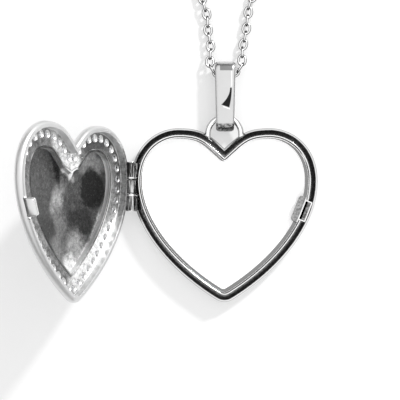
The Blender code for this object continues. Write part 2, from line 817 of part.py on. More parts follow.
def make_clasp_bolt():
    tip = 3.0 - CLASP_MOUTH / 2
    bolt = bent_rod(
        "clasp_bolt", BOLT_RADIUS, 0.0, tip, BOLT_TAIL, CLASP_CENTRE, CLASP_RADIUS, STEEL, steps=14
    )
    join(bolt, bent_slot("clasp_thumb_tab", TAB_AT - 5, TAB_AT + 5, 0.2, 1.15))
    return bolt


def make_clasp_spring():
    """The spring's envelope at its fully pressed length, clear of the bolt's whole travel."""
    start = BOLT_TAIL + BOLT_TRAVEL + 3.0
    return bent_rod(
        "clasp_spring", BOLT_RADIUS, 0.0, start, 320.0, CLASP_CENTRE, CLASP_RADIUS, STEEL,
        sides=8, steps=16,
    )


def bent_slot(name, start, end, half_height, reach=1.4):
    """A flat curved bar from the middle of the clasp's tube outwards."""
    steps = 6
    rings = []
    for i in range(steps + 1):
        turn = math.radians(start + (end - start) * i / steps)
        out = Vector((math.cos(turn), math.sin(turn), 0))
        rings.append(
            [
                Vector(CLASP_CENTRE) + out * distance + Vector((0, 0, z))
                for distance, z in (
                    (CLASP_RADIUS, -half_height), (CLASP_RADIUS + reach, -half_height),
                    (CLASP_RADIUS + reach, half_height), (CLASP_RADIUS, half_height),
                )
            ]
        )
    return loft(name, rings)


def standing_ring(name, centre, radius, wire, axis):
    """A wire ring standing upright, its own axis along X or Y."""
    item = bent_rod(name, wire, 0.0, 0.0, 360.0, (0, 0, 0), radius, STEEL, sides=8, steps=20)
    turn = Matrix.Rotation(math.pi / 2, 4, "X" if axis == "Y" else "Y")
    item.matrix_world = Matrix.Translation(Vector(centre) * MM) @ turn
    return item


def make_clasp_rings():
    x, y, z = CLASP_CENTRE
    loop_radius = 0.8
    loop_x = x - CLASP_RADIUS - CLASP_TUBE - loop_radius - LINK_WIRE - GAP
    bent_rod("clasp_loop", LINK_WIRE, 0.0, 0.0, 360.0, (loop_x, y, z), loop_radius, STEEL,
             sides=8, steps=20)
    link_radius = 0.8
    link_x = loop_x - loop_radius - link_radius + 2 * LINK_WIRE + GAP
    standing_ring("clasp_link", (link_x, y, z), link_radius, LINK_WIRE, "Y")
    end_radius = CLASP_TUBE + LINK_WIRE + 2 * RUNNING
    standing_ring("end_ring", (x, y - CLASP_RADIUS, z), end_radius, LINK_WIRE, "X")


# ---- The whole locket ------------------------------------------------------------------------
def build():
    clear_scene()
    make_back_shell()
    make_inner_bezel()
    make_photo_card()
    knuckle("hinge_knuckle_upper", outer_knuckle_y(), OUTER_KNUCKLE, -1)
    knuckle("hinge_knuckle_lower", -outer_knuckle_y(), OUTER_KNUCKLE, -1)
    pin_length = 2 * OUTER_KNUCKLE + MIDDLE_KNUCKLE + 2 * RUNNING
    tube("hinge_pin", PIN_RADIUS, 0.0, pin_length, hinge_place() @ ACROSS_Y, STEEL)
    make_catch_housing()
    hanging_ring_curve("hanging_ring", RING_WIRE, RING_LEG, SILVER)

    count = stone_line()[0]
    cover = [make_cover_shell(), make_cover_center()]
    cover.append(knuckle("hinge_knuckle_middle", 0.0, MIDDLE_KNUCKLE, 1))
    cover.append(make_catch_tab("catch_tab_inner", -1))
    cover.append(make_catch_tab("catch_tab_outer", 1))
    for side, word in ((1, "right"), (-1, "left")):
        cover.append(make_stone_strip("stones_upper_" + word, 0, count // 2, side))
        cover.append(make_stone_strip("stones_lower_" + word, count // 2, count, side))
    cover_axis = hang_on_axis("cover_axis", hinge_place().translation, cover)
    cover_axis.rotation_euler.y = -math.radians(OPEN_ANGLE)

    swinging = [make_bail(), chain_tube("chain_bail", BAIL_ROUTE)]
    hang_on_axis("bail_axis", (0.0, PIVOT_Y, RING_Z), swinging)
    chain_tube("chain_left", LEFT_ROUTE)
    chain_tube("chain_right", RIGHT_ROUTE)
    chain_tube("chain_tail", TAIL_ROUTE)
    make_chain_coil()
    make_clasp_body()
    hang_on_axis("bolt_axis", CLASP_CENTRE, [make_clasp_bolt()])
    make_clasp_spring()
    make_clasp_rings()


build()
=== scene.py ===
# %% [markdown]
# # A heart locket on a fine chain
# This notebook dresses a finished mechanical model of a silver heart locket. The mechanical model
# says where everything is and how it moves. Here we make the surfaces that are seen: smooth
# polished shells, small cut stones, a cable chain with real links, and the metal itself.

# %% Load the frame
import json
import math

import bmesh
import bpy
from mathutils import Matrix, Vector


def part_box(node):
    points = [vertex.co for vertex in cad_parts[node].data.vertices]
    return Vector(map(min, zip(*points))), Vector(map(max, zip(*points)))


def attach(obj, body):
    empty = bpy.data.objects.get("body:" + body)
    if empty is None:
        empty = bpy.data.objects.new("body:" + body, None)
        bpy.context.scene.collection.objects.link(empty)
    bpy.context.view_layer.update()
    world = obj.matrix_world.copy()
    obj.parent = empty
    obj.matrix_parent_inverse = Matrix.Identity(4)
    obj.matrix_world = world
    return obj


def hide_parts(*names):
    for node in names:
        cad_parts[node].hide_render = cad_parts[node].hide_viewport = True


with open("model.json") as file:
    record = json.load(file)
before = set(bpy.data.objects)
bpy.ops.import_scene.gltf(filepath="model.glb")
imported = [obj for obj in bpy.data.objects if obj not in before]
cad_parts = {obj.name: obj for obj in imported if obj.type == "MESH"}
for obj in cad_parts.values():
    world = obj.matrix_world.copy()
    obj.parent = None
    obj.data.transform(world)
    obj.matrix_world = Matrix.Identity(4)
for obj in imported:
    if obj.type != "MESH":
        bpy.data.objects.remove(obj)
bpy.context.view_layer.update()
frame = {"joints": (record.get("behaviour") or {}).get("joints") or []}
MM = 0.001  # metres in a millimetre; every length below is in millimetres

# %% [markdown]
# ## Where the eye is
# Small polished things are looked at from nearly straight above, from about thirty centimetres
# away. A long lens keeps the two halves in true proportion. The camera leans a little towards the
# tip of the heart, so we turn it about X and step back along its own line of sight.

# %% Camera
scene = bpy.context.scene
EYE_DISTANCE = 300.0
EYE_LEAN = 1.7  # degrees from upright, towards the tip
AIM = Vector((-3.48, 2.04, 2.6))
FRAME_WIDTH = 400 / 7.04  # width of the view at the aim, in millimetres



def new_object(name, data):
    piece = bpy.data.objects.new(name, data)
    scene.collection.objects.link(piece)
    return piece


camera_data = bpy.data.cameras.new("eye")
camera = new_object("eye", camera_data)
lean = Matrix.Rotation(math.radians(EYE_LEAN), 4, "X")
camera.matrix_world = Matrix.Translation((AIM + lean @ Vector((0, 0, EYE_DISTANCE))) * MM) @ lean
camera_data.sensor_width = 36.0
camera_data.lens = camera_data.sensor_width * EYE_DISTANCE / FRAME_WIDTH
camera_data.clip_start, camera_data.clip_end = 0.01, 10.0
scene.camera = camera
print("lens: %.0f mm" % camera_data.lens)

# %% [markdown]
# ## One way of building
# Nearly every piece of a locket is a closed line drawn along something: the heart's line drawn up
# its wall, a strap's section drawn round a loop, a wire's circle drawn along a bend. By hand we
# would add a circle, pull it into shape, and then extrude it again and again. The helper below
# does just that. Each point remembers its place on the circle, so after every extrude we can move
# the new points to where that ring should be.


# %% Select, and put points in their places
def pick(*pieces):
    """Selects these objects and nothing else, and makes the first one active."""
    if bpy.context.object and bpy.context.object.mode != "OBJECT":
        bpy.ops.object.mode_set(mode="OBJECT")
    bpy.ops.object.select_all(action="DESELECT")
    for piece in pieces:
        piece.select_set(True)
    if pieces:
        bpy.context.view_layer.objects.active = pieces[0]


def put_points(piece, points):
    """Moves the selected points of the mesh in edit mode to their places on one ring."""
    work = bmesh.from_edit_mesh(piece.data)
    place = work.verts.layers.int["place"]
    for vertex in work.verts:
        if vertex.select:
            vertex.co = points[vertex[place]] * MM
    bmesh.update_edit_mesh(piece.data)


def close_end(piece, point, ring):
    """Closes the selected ring with a fan about a point, or about its own middle."""
    middle = point if point is not None else sum(ring, Vector()) / len(ring)
    work = bmesh.from_edit_mesh(piece.data)
    place = work.verts.layers.int["place"]
    edges = [edge for edge in work.edges if edge.select]
    centre = work.verts.new(middle * MM)
    centre[place] = -1
    for edge in edges:
        work.faces.new((edge.verts[0], edge.verts[1], centre))
    for face in work.faces:
        face.select = False
    for edge in edges:
        edge.select = True
    bmesh.update_edit_mesh(piece.data)


# %% Build a piece by extruding rings
def draw_rings(name, rings, ends="open", soft=30.0):
    """Extrudes a circle from ring to ring. ends: open, loop, flat, or a pair of points."""
    caps = (None, None) if ends == "flat" else ends if isinstance(ends, tuple) else None
    pick()
    bpy.ops.mesh.primitive_circle_add(vertices=len(rings[0]), radius=MM)
    piece = bpy.context.object
    piece.name = piece.data.name = name
    bpy.ops.object.mode_set(mode="EDIT")
    bpy.ops.mesh.select_mode(type="EDGE")
    bpy.ops.mesh.select_all(action="SELECT")
    work = bmesh.from_edit_mesh(piece.data)
    place = work.verts.layers.int.new("place")
    for number, vertex in enumerate(work.verts):
        vertex[place] = number
    put_points(piece, rings[0])
    if caps:
        close_end(piece, caps[0], rings[0])
    for ring in rings[1:] + (rings[:1] if ends == "loop" else []):
        bpy.ops.mesh.extrude_region_move()
        put_points(piece, ring)
    if caps:
        close_end(piece, caps[1], rings[-1])
    bpy.ops.mesh.select_all(action="SELECT")
    bpy.ops.mesh.remove_doubles(threshold=1e-6)
    bpy.ops.mesh.normals_make_consistent(inside=False)
    bpy.ops.object.mode_set(mode="OBJECT")
    bpy.ops.object.shade_smooth_by_angle(angle=math.radians(soft))
    return piece


def round_points(radius, count, centre=Vector((0, 0, 0)), first=Vector((1, 0, 0)),
                 second=Vector((0, 1, 0))):
    turns = [2 * math.pi * k / count for k in range(count)]
    return [centre + first * (radius * math.cos(a)) + second * (radius * math.sin(a))
            for a in turns]


# %% Join, cut, smooth and place
def merge_into(piece, *others):
    """Joins other objects into the first."""
    pick(piece, *others)
    bpy.ops.object.join()
    return piece


def apply_all(piece):
    pick(piece)
    for modifier in list(piece.modifiers):
        bpy.ops.object.modifier_apply(modifier=modifier.name)


def carve(piece, *cutters):
    """Cuts each cutter's shape out of the piece, and throws the cutter away."""
    for cutter in cutters:
        modifier = piece.modifiers.new("carve", "BOOLEAN")
        modifier.operation, modifier.solver = "DIFFERENCE", "EXACT"
        modifier.object = cutter
        apply_all(piece)
        bpy.data.objects.remove(cutter, do_unlink=True)
    return piece


def smooth(piece, degrees):
    pick(piece)
    bpy.ops.object.shade_smooth_by_angle(angle=math.radians(degrees))
    return piece


def place_in(piece, matrix):
    """Moves a mesh itself, given in millimetres, so that the object stays at the origin."""
    spot = matrix.copy()
    spot.translation = matrix.translation * MM
    piece.data.transform(spot)
    piece.data.update()
    return piece


def tell(*pieces):
    for piece in pieces:
        print(piece.name, "has", len(piece.data.polygons), "faces")


print("lengths are in millimetres; Blender's own unit is the metre, so each is times", MM)

# %% [markdown]
# ## The heart line
# Both halves of the locket share one line, the thin lip where they meet. Half of it is three
# smooth curves: out of the notch and over the lobe, round to the widest point, and down the flank
# to a small rounded tip. Everything else on the shells lies a fixed distance inside or outside
# this line, as if drawn with a pair of compasses.

# %% The heart line and the lines beside it
lip_low, lip_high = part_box("inner_bezel")
LIP_WIDTH = (lip_high.x - lip_low.x) / MM
LIP_HEIGHT = (lip_high.y - lip_low.y) / MM
LOBE_TOP = lip_high.y / MM
CENTRE_DOWN = 0.4385 * LIP_HEIGHT  # from the lobe tops to the centre that the rays leave
NOTCH_DOWN, WIDEST_DOWN = 0.1436 * LIP_HEIGHT, 0.2885 * LIP_HEIGHT
LOBE_ACROSS = 0.2663 * LIP_WIDTH  # from the middle to the top of a lobe
CENTRE_Y = LOBE_TOP - CENTRE_DOWN
NOTCH_SLOPE, TIP_SLOPE, TIP_RADIUS = math.radians(42.0), math.radians(31.6), 1.2
HEART_POINTS = 336


def curve_points(start, leave, arrive, end, count):
    shares = [k / count for k in range(count)]
    return [start * (1 - t) ** 3 + leave * (3 * (1 - t) ** 2 * t)
            + arrive * (3 * (1 - t) * t * t) + end * t ** 3 for t in shares]


def half_line(count=240):
    """The lip line's right half from the notch to the tip, about the ray centre."""
    notch = Vector((0.0, CENTRE_DOWN - NOTCH_DOWN))
    lobe = Vector((LOBE_ACROSS, CENTRE_DOWN))
    widest = Vector((LIP_WIDTH / 2, CENTRE_DOWN - WIDEST_DOWN))
    tip_centre = Vector((0.0, CENTRE_DOWN - LIP_HEIGHT + TIP_RADIUS))
    flank = tip_centre + TIP_RADIUS * Vector((math.sin(TIP_SLOPE), -math.cos(TIP_SLOPE)))
    leave = Vector((math.cos(NOTCH_SLOPE), math.sin(NOTCH_SLOPE)))
    arrive = Vector((math.cos(TIP_SLOPE), math.sin(TIP_SLOPE)))
    across, drop = widest.x - lobe.x, lobe.y - widest.y
    points = curve_points(notch, notch + leave * lobe.x * 0.54,
                          lobe - Vector((lobe.x * 0.52, 0)), lobe, count)
    points += curve_points(lobe, lobe + Vector((across * 0.44, 0)),
                           widest + Vector((0, drop * 0.7)), widest, count)
    points += curve_points(widest, widest - Vector((0, drop * 0.93)),
                           flank + arrive * LIP_WIDTH * 0.3, flank, count)
    for step in range(count // 3 + 1):
        turn = TIP_SLOPE * (1 - step / (count // 3))
        points.append(tip_centre + TIP_RADIUS * Vector((math.sin(turn), -math.cos(turn))))
    return points


HALF = half_line()


# %% Lines beside the heart line
def moved_line(distance):
    """The half line moved outwards by a distance, trimmed where it meets its own mirror image."""
    moved = []
    for k, point in enumerate(HALF):
        along = (HALF[min(k + 1, len(HALF) - 1)] - HALF[max(k - 1, 0)]).normalized()
        moved.append(point + Vector((-along.y, along.x)) * distance)
    trimmed = []
    for one, two in zip(moved, moved[1:]):
        if (one.x > 0) != (two.x > 0):
            trimmed.append(one.lerp(two, one.x / (one.x - two.x)))
        if two.x > 0:
            trimmed.append(two)
    if moved[0].x > 0:
        trimmed = [HALF[0] + Vector((0, distance)), moved[0]] + trimmed
    if moved[-1].x > 0 or abs(trimmed[-1].x) > 1e-6:
        trimmed.append(HALF[-1] - Vector((0, distance)))
    return trimmed


def along_lengths(points):
    lengths = [0.0]
    for one, two in zip(points, points[1:]):
        lengths.append(lengths[-1] + (two - one).length)
    return lengths


def even_steps(lengths, count, last):
    """For even steps along a line, the point just passed and the length walked."""
    k = 0
    for step in range(count + 1):
        target = lengths[-1] * step / count
        while k < last and lengths[k + 1] <= target + 1e-9:
            k += 1
        yield k, target


def ray_angles():
    lengths = along_lengths(HALF)
    angles = [math.atan2(HALF[k].x, HALF[k].y)
              for k, _ in even_steps(lengths, HEART_POINTS // 2, len(lengths) - 1)]
    angles[0], angles[-1] = 0.0, math.pi
    return angles


# %% Hearts of any size, on the same rays
ANGLES = ray_angles()
KNOWN_RADII = {}


def ray_radii(distance):
    """How far a moved line lies from the centre, along each ray."""
    key = round(distance, 4)
    if key not in KNOWN_RADII:
        polar = [(math.atan2(max(p.x, 0.0), p.y), p.length) for p in moved_line(distance)]
        found, k = [], 0
        for angle in ANGLES:
            while k < len(polar) - 2 and polar[k + 1][0] < angle:
                k += 1
            (a, one), (b, two) = polar[k], polar[k + 1]
            share = (angle - a) / (b - a) if b > a else 0.0
            found.append(one + (two - one) * min(max(share, 0.0), 1.0))
        KNOWN_RADII[key] = found
    return KNOWN_RADII[key]


def heart(distance, z, scale=1.0, shift=(0.0, 0.0)):
    """One closed heart a distance outside the lip line, at a height."""
    right = [(r * scale * math.sin(a), r * scale * math.cos(a))
             for a, r in zip(ANGLES, ray_radii(distance))]
    left = [(-x, y) for x, y in reversed(right[1:-1])]
    return [Vector((x + shift[0], y + CENTRE_Y + shift[1], z)) for x, y in right + left]


print("lip line %.2f x %.2f mm, %d points" % (LIP_WIDTH, LIP_HEIGHT, HEART_POINTS))


# %% [markdown]
# ## Soft profiles
# A stamped and polished edge is never sharp. A profile is written as a few corner points, each
# with its own small radius, and this helper rounds every corner with a short arc. The arcs are
# what catch the light as thin bright lines.


# %% Round the corners of a profile
def soft_profile(corners, closed, steps=4):
    """corners: (distance, height, radius). Returns (distance, height) points."""
    points = []
    for k, (x, z, radius) in enumerate(corners):
        here = Vector((x, z))
        at_end = not closed and k in (0, len(corners) - 1)
        if at_end or radius == 0:
            points.append(here)
            continue
        before = Vector(corners[k - 1][:2]) - here
        after = Vector(corners[(k + 1) % len(corners)][:2]) - here
        reach = min(radius, before.length * 0.45, after.length * 0.45)
        one, two = here + before.normalized() * reach, here + after.normalized() * reach
        for step in range(steps + 1):
            t = step / steps
            points.append(one * (1 - t) ** 2 + here * (2 * t * (1 - t)) + two * t * t)
    return [(p.x, p.y) for p in points]


def heart_piece(name, corners, closed=True, ends=None, soft=30.0, steps=4):
    profile = soft_profile(corners, closed, steps)
    return draw_rings(name, [heart(d, z) for d, z in profile],
                      ends or ("loop" if closed else "open"), soft)


print("a square corner becomes", len(soft_profile([(0, 0, 0), (1, 0, 0.2), (1, 1, 0)], False)),
      "points")


# %% [markdown]
# ## The joints give the places
# The mechanical model already knows where the hinge, the bail's pivot and the clasp's centre are,
# so we read them instead of typing them again. The cover is easiest to model shut, lying over the
# back half. Afterwards its mesh is turned open about the hinge.

# %% Places shared by several pieces
JOINTS = {joint["name"]: joint for joint in frame["joints"]}
HINGE = Vector(JOINTS["cover_hinge"]["pos_m"]) / MM
OPEN_ANGLE = JOINTS["cover_hinge"]["range_deg"][1]
PIVOT = Vector(JOINTS["bail_swing"]["pos_m"]) / MM
CLASP = Vector(JOINTS["clasp_bolt_turn"]["pos_m"]) / MM
PARTING = 2.6  # height of the plane where the halves meet
GAP = 0.05
RIM = 0.95  # from the lip line to the widest part of a wall
LIP_TOP = PARTING + 0.35
COVER_LOW = PARTING + GAP
CATCH_ANGLE = math.radians(94.25)  # of the ray through the catch, from the notch
BORDER_IN, BORDER_OUT = PARTING + 1.1, PARTING + 1.62
X, Y, Z = Vector((1, 0, 0)), Vector((0, 1, 0)), Vector((0, 0, 1))

OPENED = (Matrix.Translation(HINGE) @ Matrix.Rotation(-math.radians(OPEN_ANGLE), 4, "Y")
          @ Matrix.Translation(-HINGE))


def catch_place(outwards=0.0, z=0.0):
    """Axes at the catch: own X outwards across the lip line, own Y along it."""
    k = min(range(len(ANGLES)), key=lambda n: abs(ANGLES[n] - CATCH_ANGLE))
    spots = [Vector((r * math.sin(a), r * math.cos(a)))
             for a, r in zip(ANGLES[k - 1:k + 2], ray_radii(0.0)[k - 1:k + 2])]
    share = (CATCH_ANGLE - ANGLES[k]) / (ANGLES[k + 1] - ANGLES[k])
    along = (spots[2] - spots[0]).normalized()
    out = Vector((-along.y, along.x))
    spot = spots[1].lerp(spots[2], share) + out * outwards
    return (Matrix.Translation((spot.x, spot.y + CENTRE_Y, z))
            @ Matrix.Rotation(math.atan2(out.y, out.x), 4, "Z"))


print("hinge", HINGE, "opens to", OPEN_ANGLE, "degrees; bail pivot", PIVOT)

# %% [markdown]
# ## Small flat metal pieces
# The catch's box, its ledge and the tongue's tabs are cut from flat strip. Each one starts as a
# cube of the right size. Its upright corners are bevelled with a larger radius, and then all its
# edges get a tiny one, as a file and a polishing wheel would leave them.


# %% A plate with rounded corners
def plate(name, size, matrix, corner=0.1, edge=0.03, upright="Z"):
    pick()
    bpy.ops.mesh.primitive_cube_add(size=MM)
    piece = bpy.context.object
    piece.name = piece.data.name = name
    piece.data.transform(Matrix.Diagonal((*size, 1.0)))
    axis = "XYZ".index(upright)
    bpy.ops.object.mode_set(mode="EDIT")
    bpy.ops.mesh.select_mode(type="EDGE")
    work = bmesh.from_edit_mesh(piece.data)
    for item in work.edges:
        run = item.verts[1].co - item.verts[0].co
        item.select = abs(run[axis]) > 0.9 * run.length
    work.select_flush_mode()
    bmesh.update_edit_mesh(piece.data)
    if corner:
        bpy.ops.mesh.bevel(offset=corner * MM, segments=5)
    bpy.ops.object.mode_set(mode="OBJECT")
    finish = piece.modifiers.new("edges", "BEVEL")
    finish.width, finish.segments, finish.limit_method = edge * MM, 2, "ANGLE"
    finish.angle_limit = math.radians(40)
    apply_all(piece)
    place_in(piece, matrix)
    return smooth(piece, 35)


print("catch at", catch_place().translation)

# %% [markdown]
# ## The back half
# The back is a shallow dish: a flat floor, a wall that swells out like a belly, and a rim that
# slopes away from the lip. Its profile goes up the outside, over the rim and down the inside, and
# the heart line carries it round. The lip is a separate thin strip that stands just above the rim,
# so that the cover snaps over it.

# %% Room for the hinge and the catch
HINGE_LENGTH, HINGE_ROOM = 7.22, 0.88  # the cut-out's length and radius


def hinge_room(name):
    rings = [round_points(HINGE_ROOM, 40, HINGE + Y * y, X, Z)
             for y in (-HINGE_LENGTH / 2, HINGE_LENGTH / 2)]
    return draw_rings(name, rings, "flat")


def catch_room():
    box = plate("room_box", (1.22, 3.12, 2.05), catch_place(0.0, LIP_TOP - 0.975), 0, 0.001)
    ledge = plate("room_ledge", (1.61, 3.9, 1.3), catch_place(-0.755, LIP_TOP - 1.35), 0, 0.001)
    return box, ledge


# %% Back shell and lip
back_case = heart_piece("back_case", [
    (-2.6, 0.0, 0), (-0.4, 0.0, 0.6), (0.5, 0.25, 0.8), (1.04, 1.0, 0.8), (1.04, 1.6, 0.3),
    (0.75, 2.08, 0.12), (0.02, 2.62, 0.01), (0.02, 0.6, 0.02), (-2.6, 0.6, 0),
], closed=False, ends="flat")
carve(back_case, hinge_room("room_back"), *catch_room())
smooth(back_case, 32)

lip = heart_piece("lip", [
    (-0.02, 0.64, 0), (-0.02, LIP_TOP, 0.05), (-0.15, LIP_TOP, 0.04), (-0.36, LIP_TOP - 0.17, 0.05),
    (-0.38, 0.64, 0)])
carve(lip, *catch_room())
smooth(lip, 40)
tell(back_case, lip)

# %% [markdown]
# The picture card is a blank piece of stiff paper, cut a little smaller than the recess, so it
# lies loose and leaves a wider gap on one side.

# %% Picture card
CARD_SHIFT = (-0.14, 0.2)
card = draw_rings("card", [
    heart(-0.66, 0.66, shift=CARD_SHIFT), heart(-0.62, 0.7, shift=CARD_SHIFT),
    heart(-0.62, 0.81, shift=CARD_SHIFT), heart(-0.66, 0.85, shift=CARD_SHIFT),
], "flat", 60)
tell(card)

# %% [markdown]
# The catch is a small open box soldered on the lip, with a ledge inside it for a fingernail.
# The cover's tongue drops into the slot and grips its inner wall.

# %% Catch
catch_body = plate("catch_body", (1.12, 3.02, 1.95), catch_place(0.0, LIP_TOP - 0.975), 0.16, 0.03)
slot = plate("slot_room", (0.8, 2.7, 3.3), catch_place(0.0, LIP_TOP), 0.1, 0.001)
carve(catch_body, slot)
ledge = plate("ledge", (1.5, 3.8, 1.2), catch_place(-0.76, LIP_TOP - 1.35), 0.42, 0.07)
ledge_notch = plate("ledge_notch", (0.84, 2.74, 3.3), catch_place(0.0, LIP_TOP), 0.1, 0.001)
carve(ledge, ledge_notch)
merge_into(catch_body, ledge)
smooth(catch_body, 35)
tell(catch_body)

# %% [markdown]
# ## The hinge
# Three short tubes share one pin. Two belong to the back and the middle one to the cover. Each is
# a tube with softened ends and a small solder foot that joins it to its shell. The pin's ends are
# tapped over, so they look like small domes.


# %% Hinge tubes and pin
TUBE, BORE = 0.8, 0.4  # outer radius and the hole for the pin
MIDDLE_TUBE, OUTER_TUBE, TUBE_GAP = 1.9, 2.5, 0.08
PIN_RADIUS = 0.36


def hinge_tube(name, y, length, side):
    half = length / 2
    profile = soft_profile([(BORE, -half, 0.04), (TUBE, -half, 0.1), (TUBE, half, 0.1),
                            (BORE, half, 0.04)], True, 3)
    rings = [round_points(r, 44, HINGE + Y * (y + at), X, Z) for r, at in profile]
    tube = draw_rings(name, rings, "loop", 35)
    foot = plate(name + "_foot", (0.82, length - 0.36, 0.5),
                 Matrix.Translation(HINGE + Y * y + X * 0.5 + Z * side * 0.48), 0.05, 0.04)
    return merge_into(tube, foot)


OUTER_Y = MIDDLE_TUBE / 2 + TUBE_GAP + OUTER_TUBE / 2
hinge_upper = hinge_tube("hinge_upper", OUTER_Y, OUTER_TUBE, -1)
hinge_lower = hinge_tube("hinge_lower", -OUTER_Y, OUTER_TUBE, -1)
hinge_middle = place_in(hinge_tube("hinge_middle", 0.0, MIDDLE_TUBE, 1), OPENED)

dome = [(0.05, 3.6), (0.2, 3.58), (0.32, 3.53), (PIN_RADIUS, 3.46)]
pin_profile = ([(r, -y) for r, y in dome] + [(PIN_RADIUS, 0.0)]
               + [(r, y) for r, y in reversed(dome)])
pin = draw_rings("pin", [round_points(r, 24, HINGE + Y * y, X, Z) for r, y in pin_profile],
                 "flat", 50)
tell(hinge_upper, hinge_middle, hinge_lower, pin)

# %% [markdown]
# ## The hanging ring
# A wire is bent into an arch over the notch, and its two legs are soldered into the wall. We draw
# a small circle round the arch, one step at a time.


# %% Hanging ring
def bent_wire(name, line, radius, sides=20, up=Z, ends="flat", soft=40.0):
    """A round wire along a line of points; up is any direction off the line's plane."""
    rings = []
    for k, point in enumerate(line):
        if ends == "loop":
            ahead, behind = line[(k + 1) % len(line)], line[k - 1]
        else:
            ahead, behind = line[min(k + 1, len(line) - 1)], line[max(k - 1, 0)]
        along = (ahead - behind).normalized()
        side = along.cross(up).normalized()
        rings.append(round_points(radius, sides, point, side, side.cross(along)))
    return draw_rings(name, rings, ends, soft)


RING_RADIUS, RING_WIRE = 2.36, 0.39
RING_Y = PIVOT.y - RING_RADIUS
arch = [Vector((RING_RADIUS, -0.55, 0)), Vector((RING_RADIUS, -0.3, 0))]
arch += [RING_RADIUS * Vector((math.cos(math.pi * k / 36), math.sin(math.pi * k / 36), 0))
         for k in range(37)]
arch += [Vector((-RING_RADIUS, -0.3, 0)), Vector((-RING_RADIUS, -0.55, 0))]
arch = [point + Vector((0, RING_Y, PIVOT.z)) for point in arch]
hanging_ring = bent_wire("ring_arch", arch, RING_WIRE)
print("arch: %d points, wire %.2f mm thick" % (len(arch), 2 * RING_WIRE))

# %% [markdown]
# ## The cover
# The cover is a frame and a raised heart. The frame's profile is one closed line: rim, wall, the
# border with a groove for the stones, and back along the inside. Under each stone a small hole is
# drilled through to the inside, so that light can reach it, and the holes are softened at the
# edge by the polishing.

# %% Where the stones sit
STONES = 24  # on each side
STONE_INSET = 0.8
SEAT, SEAT_FLARE = 0.4, 0.84  # radius of a seat hole, and of the drill below it


def stone_spots():
    """Centre and direction of every stone of the right half, from the notch to the tip."""
    points = moved_line(-STONE_INSET)
    lengths = along_lengths(points)
    spots = []
    for k, target in even_steps(lengths, 2 * STONES, len(lengths) - 2):
        one, two = points[k], points[k + 1]
        share = (target - lengths[k]) / max(lengths[k + 1] - lengths[k], 1e-9)
        here = one.lerp(two, min(share, 1.0))
        spots.append((Vector((here.x, here.y + CENTRE_Y, 0)), (two - one).normalized()))
    return spots


SPOTS = stone_spots()


def drill_bits():
    """All the seat holes as one object: a drill with a small flare at the inner face."""
    low, flare, high = BORDER_IN - 0.2, BORDER_IN + 0.14, BORDER_IN + 0.45
    bits = []
    for number in range(STONES):
        here = SPOTS[2 * number + 1][0]
        for side in (1, -1):
            spot = Vector((here.x * side, here.y, 0))
            rings = [round_points(r, 20, spot + Z * z)
                     for r, z in ((SEAT_FLARE, low), (SEAT, flare), (SEAT, high))]
            bits.append(draw_rings("bit", rings, "flat"))
    return merge_into(*bits)


print("stones are %.2f mm apart" % (SPOTS[2][0] - SPOTS[0][0]).length)

# %% Cover frame
cover_frame = heart_piece("cover_frame", [
    (GAP, COVER_LOW, 0.06), (0.55, COVER_LOW, 0.2), (0.88, COVER_LOW + 0.3, 0.25),
    (RIM, COVER_LOW + 0.75, 0.4), (0.82, BORDER_OUT - 0.4, 0.35), (0.4, BORDER_OUT, 0.3),
    (-0.15, BORDER_OUT, 0.05), (-0.15, BORDER_OUT - 0.35, 0.03),
    (-1.45, BORDER_OUT - 0.35, 0.03), (-1.45, BORDER_OUT, 0.05),
    (-2.35, BORDER_OUT + 0.04, 0.05), (-2.35, BORDER_IN, 0.08), (-0.02, BORDER_IN, 0.12),
    (GAP, BORDER_IN - 0.12, 0.05)])
tongue_room = plate("room_tongue", (1.28, 3.18, 1.6),
                    catch_place(0.0, PARTING + 0.37), 0, 0.001)
carve(cover_frame, hinge_room("room_cover"), tongue_room, drill_bits())
smooth(cover_frame, 32)
place_in(cover_frame, OPENED)
tell(cover_frame)

# %% [markdown]
# The raised heart is pressed from sheet: a short wall that stands in the frame's opening, and a
# floor that is gently domed outwards. Seen from inside it is a shallow bowl, which bends every
# reflection.

# %% Raised heart
CUP_OUT, CUP_IN = -2.4, -2.73
CUP_FLOOR = BORDER_IN + 0.65
DOME = 0.75
bowl = [k / 14 for k in range(1, 14)]
rings = [heart(CUP_IN, CUP_FLOOR + 0.03 + DOME * (1 - s * s), s) for s in bowl]
rings += [heart(CUP_IN, CUP_FLOOR + 0.05, 0.985), heart(CUP_IN, CUP_FLOOR + 0.03, 0.998),
          heart(CUP_IN, CUP_FLOOR - 0.02), heart(CUP_IN, BORDER_IN + 0.06),
          heart(CUP_IN + 0.06, BORDER_IN - 0.02), heart(CUP_OUT - 0.06, BORDER_IN - 0.02),
          heart(CUP_OUT, BORDER_IN + 0.05), heart(CUP_OUT, CUP_FLOOR + 0.22),
          heart(CUP_OUT, CUP_FLOOR + 0.36, 0.99), heart(CUP_OUT, CUP_FLOOR + 0.45, 0.97)]
rings += [heart(CUP_OUT, CUP_FLOOR + 0.43 + DOME * (1 - s * s), s) for s in reversed(bowl)]
tops = (Vector((0, CENTRE_Y, CUP_FLOOR + 0.03 + DOME)),
        Vector((0, CENTRE_Y, CUP_FLOOR + 0.43 + DOME)))
raised_heart = draw_rings("raised_heart", rings, tops, 32)
place_in(raised_heart, OPENED)
tell(raised_heart)

# %% [markdown]
# The tongue is two thin tabs, side by side, soldered inside the frame. They spring together a
# little as they enter the catch's slot.

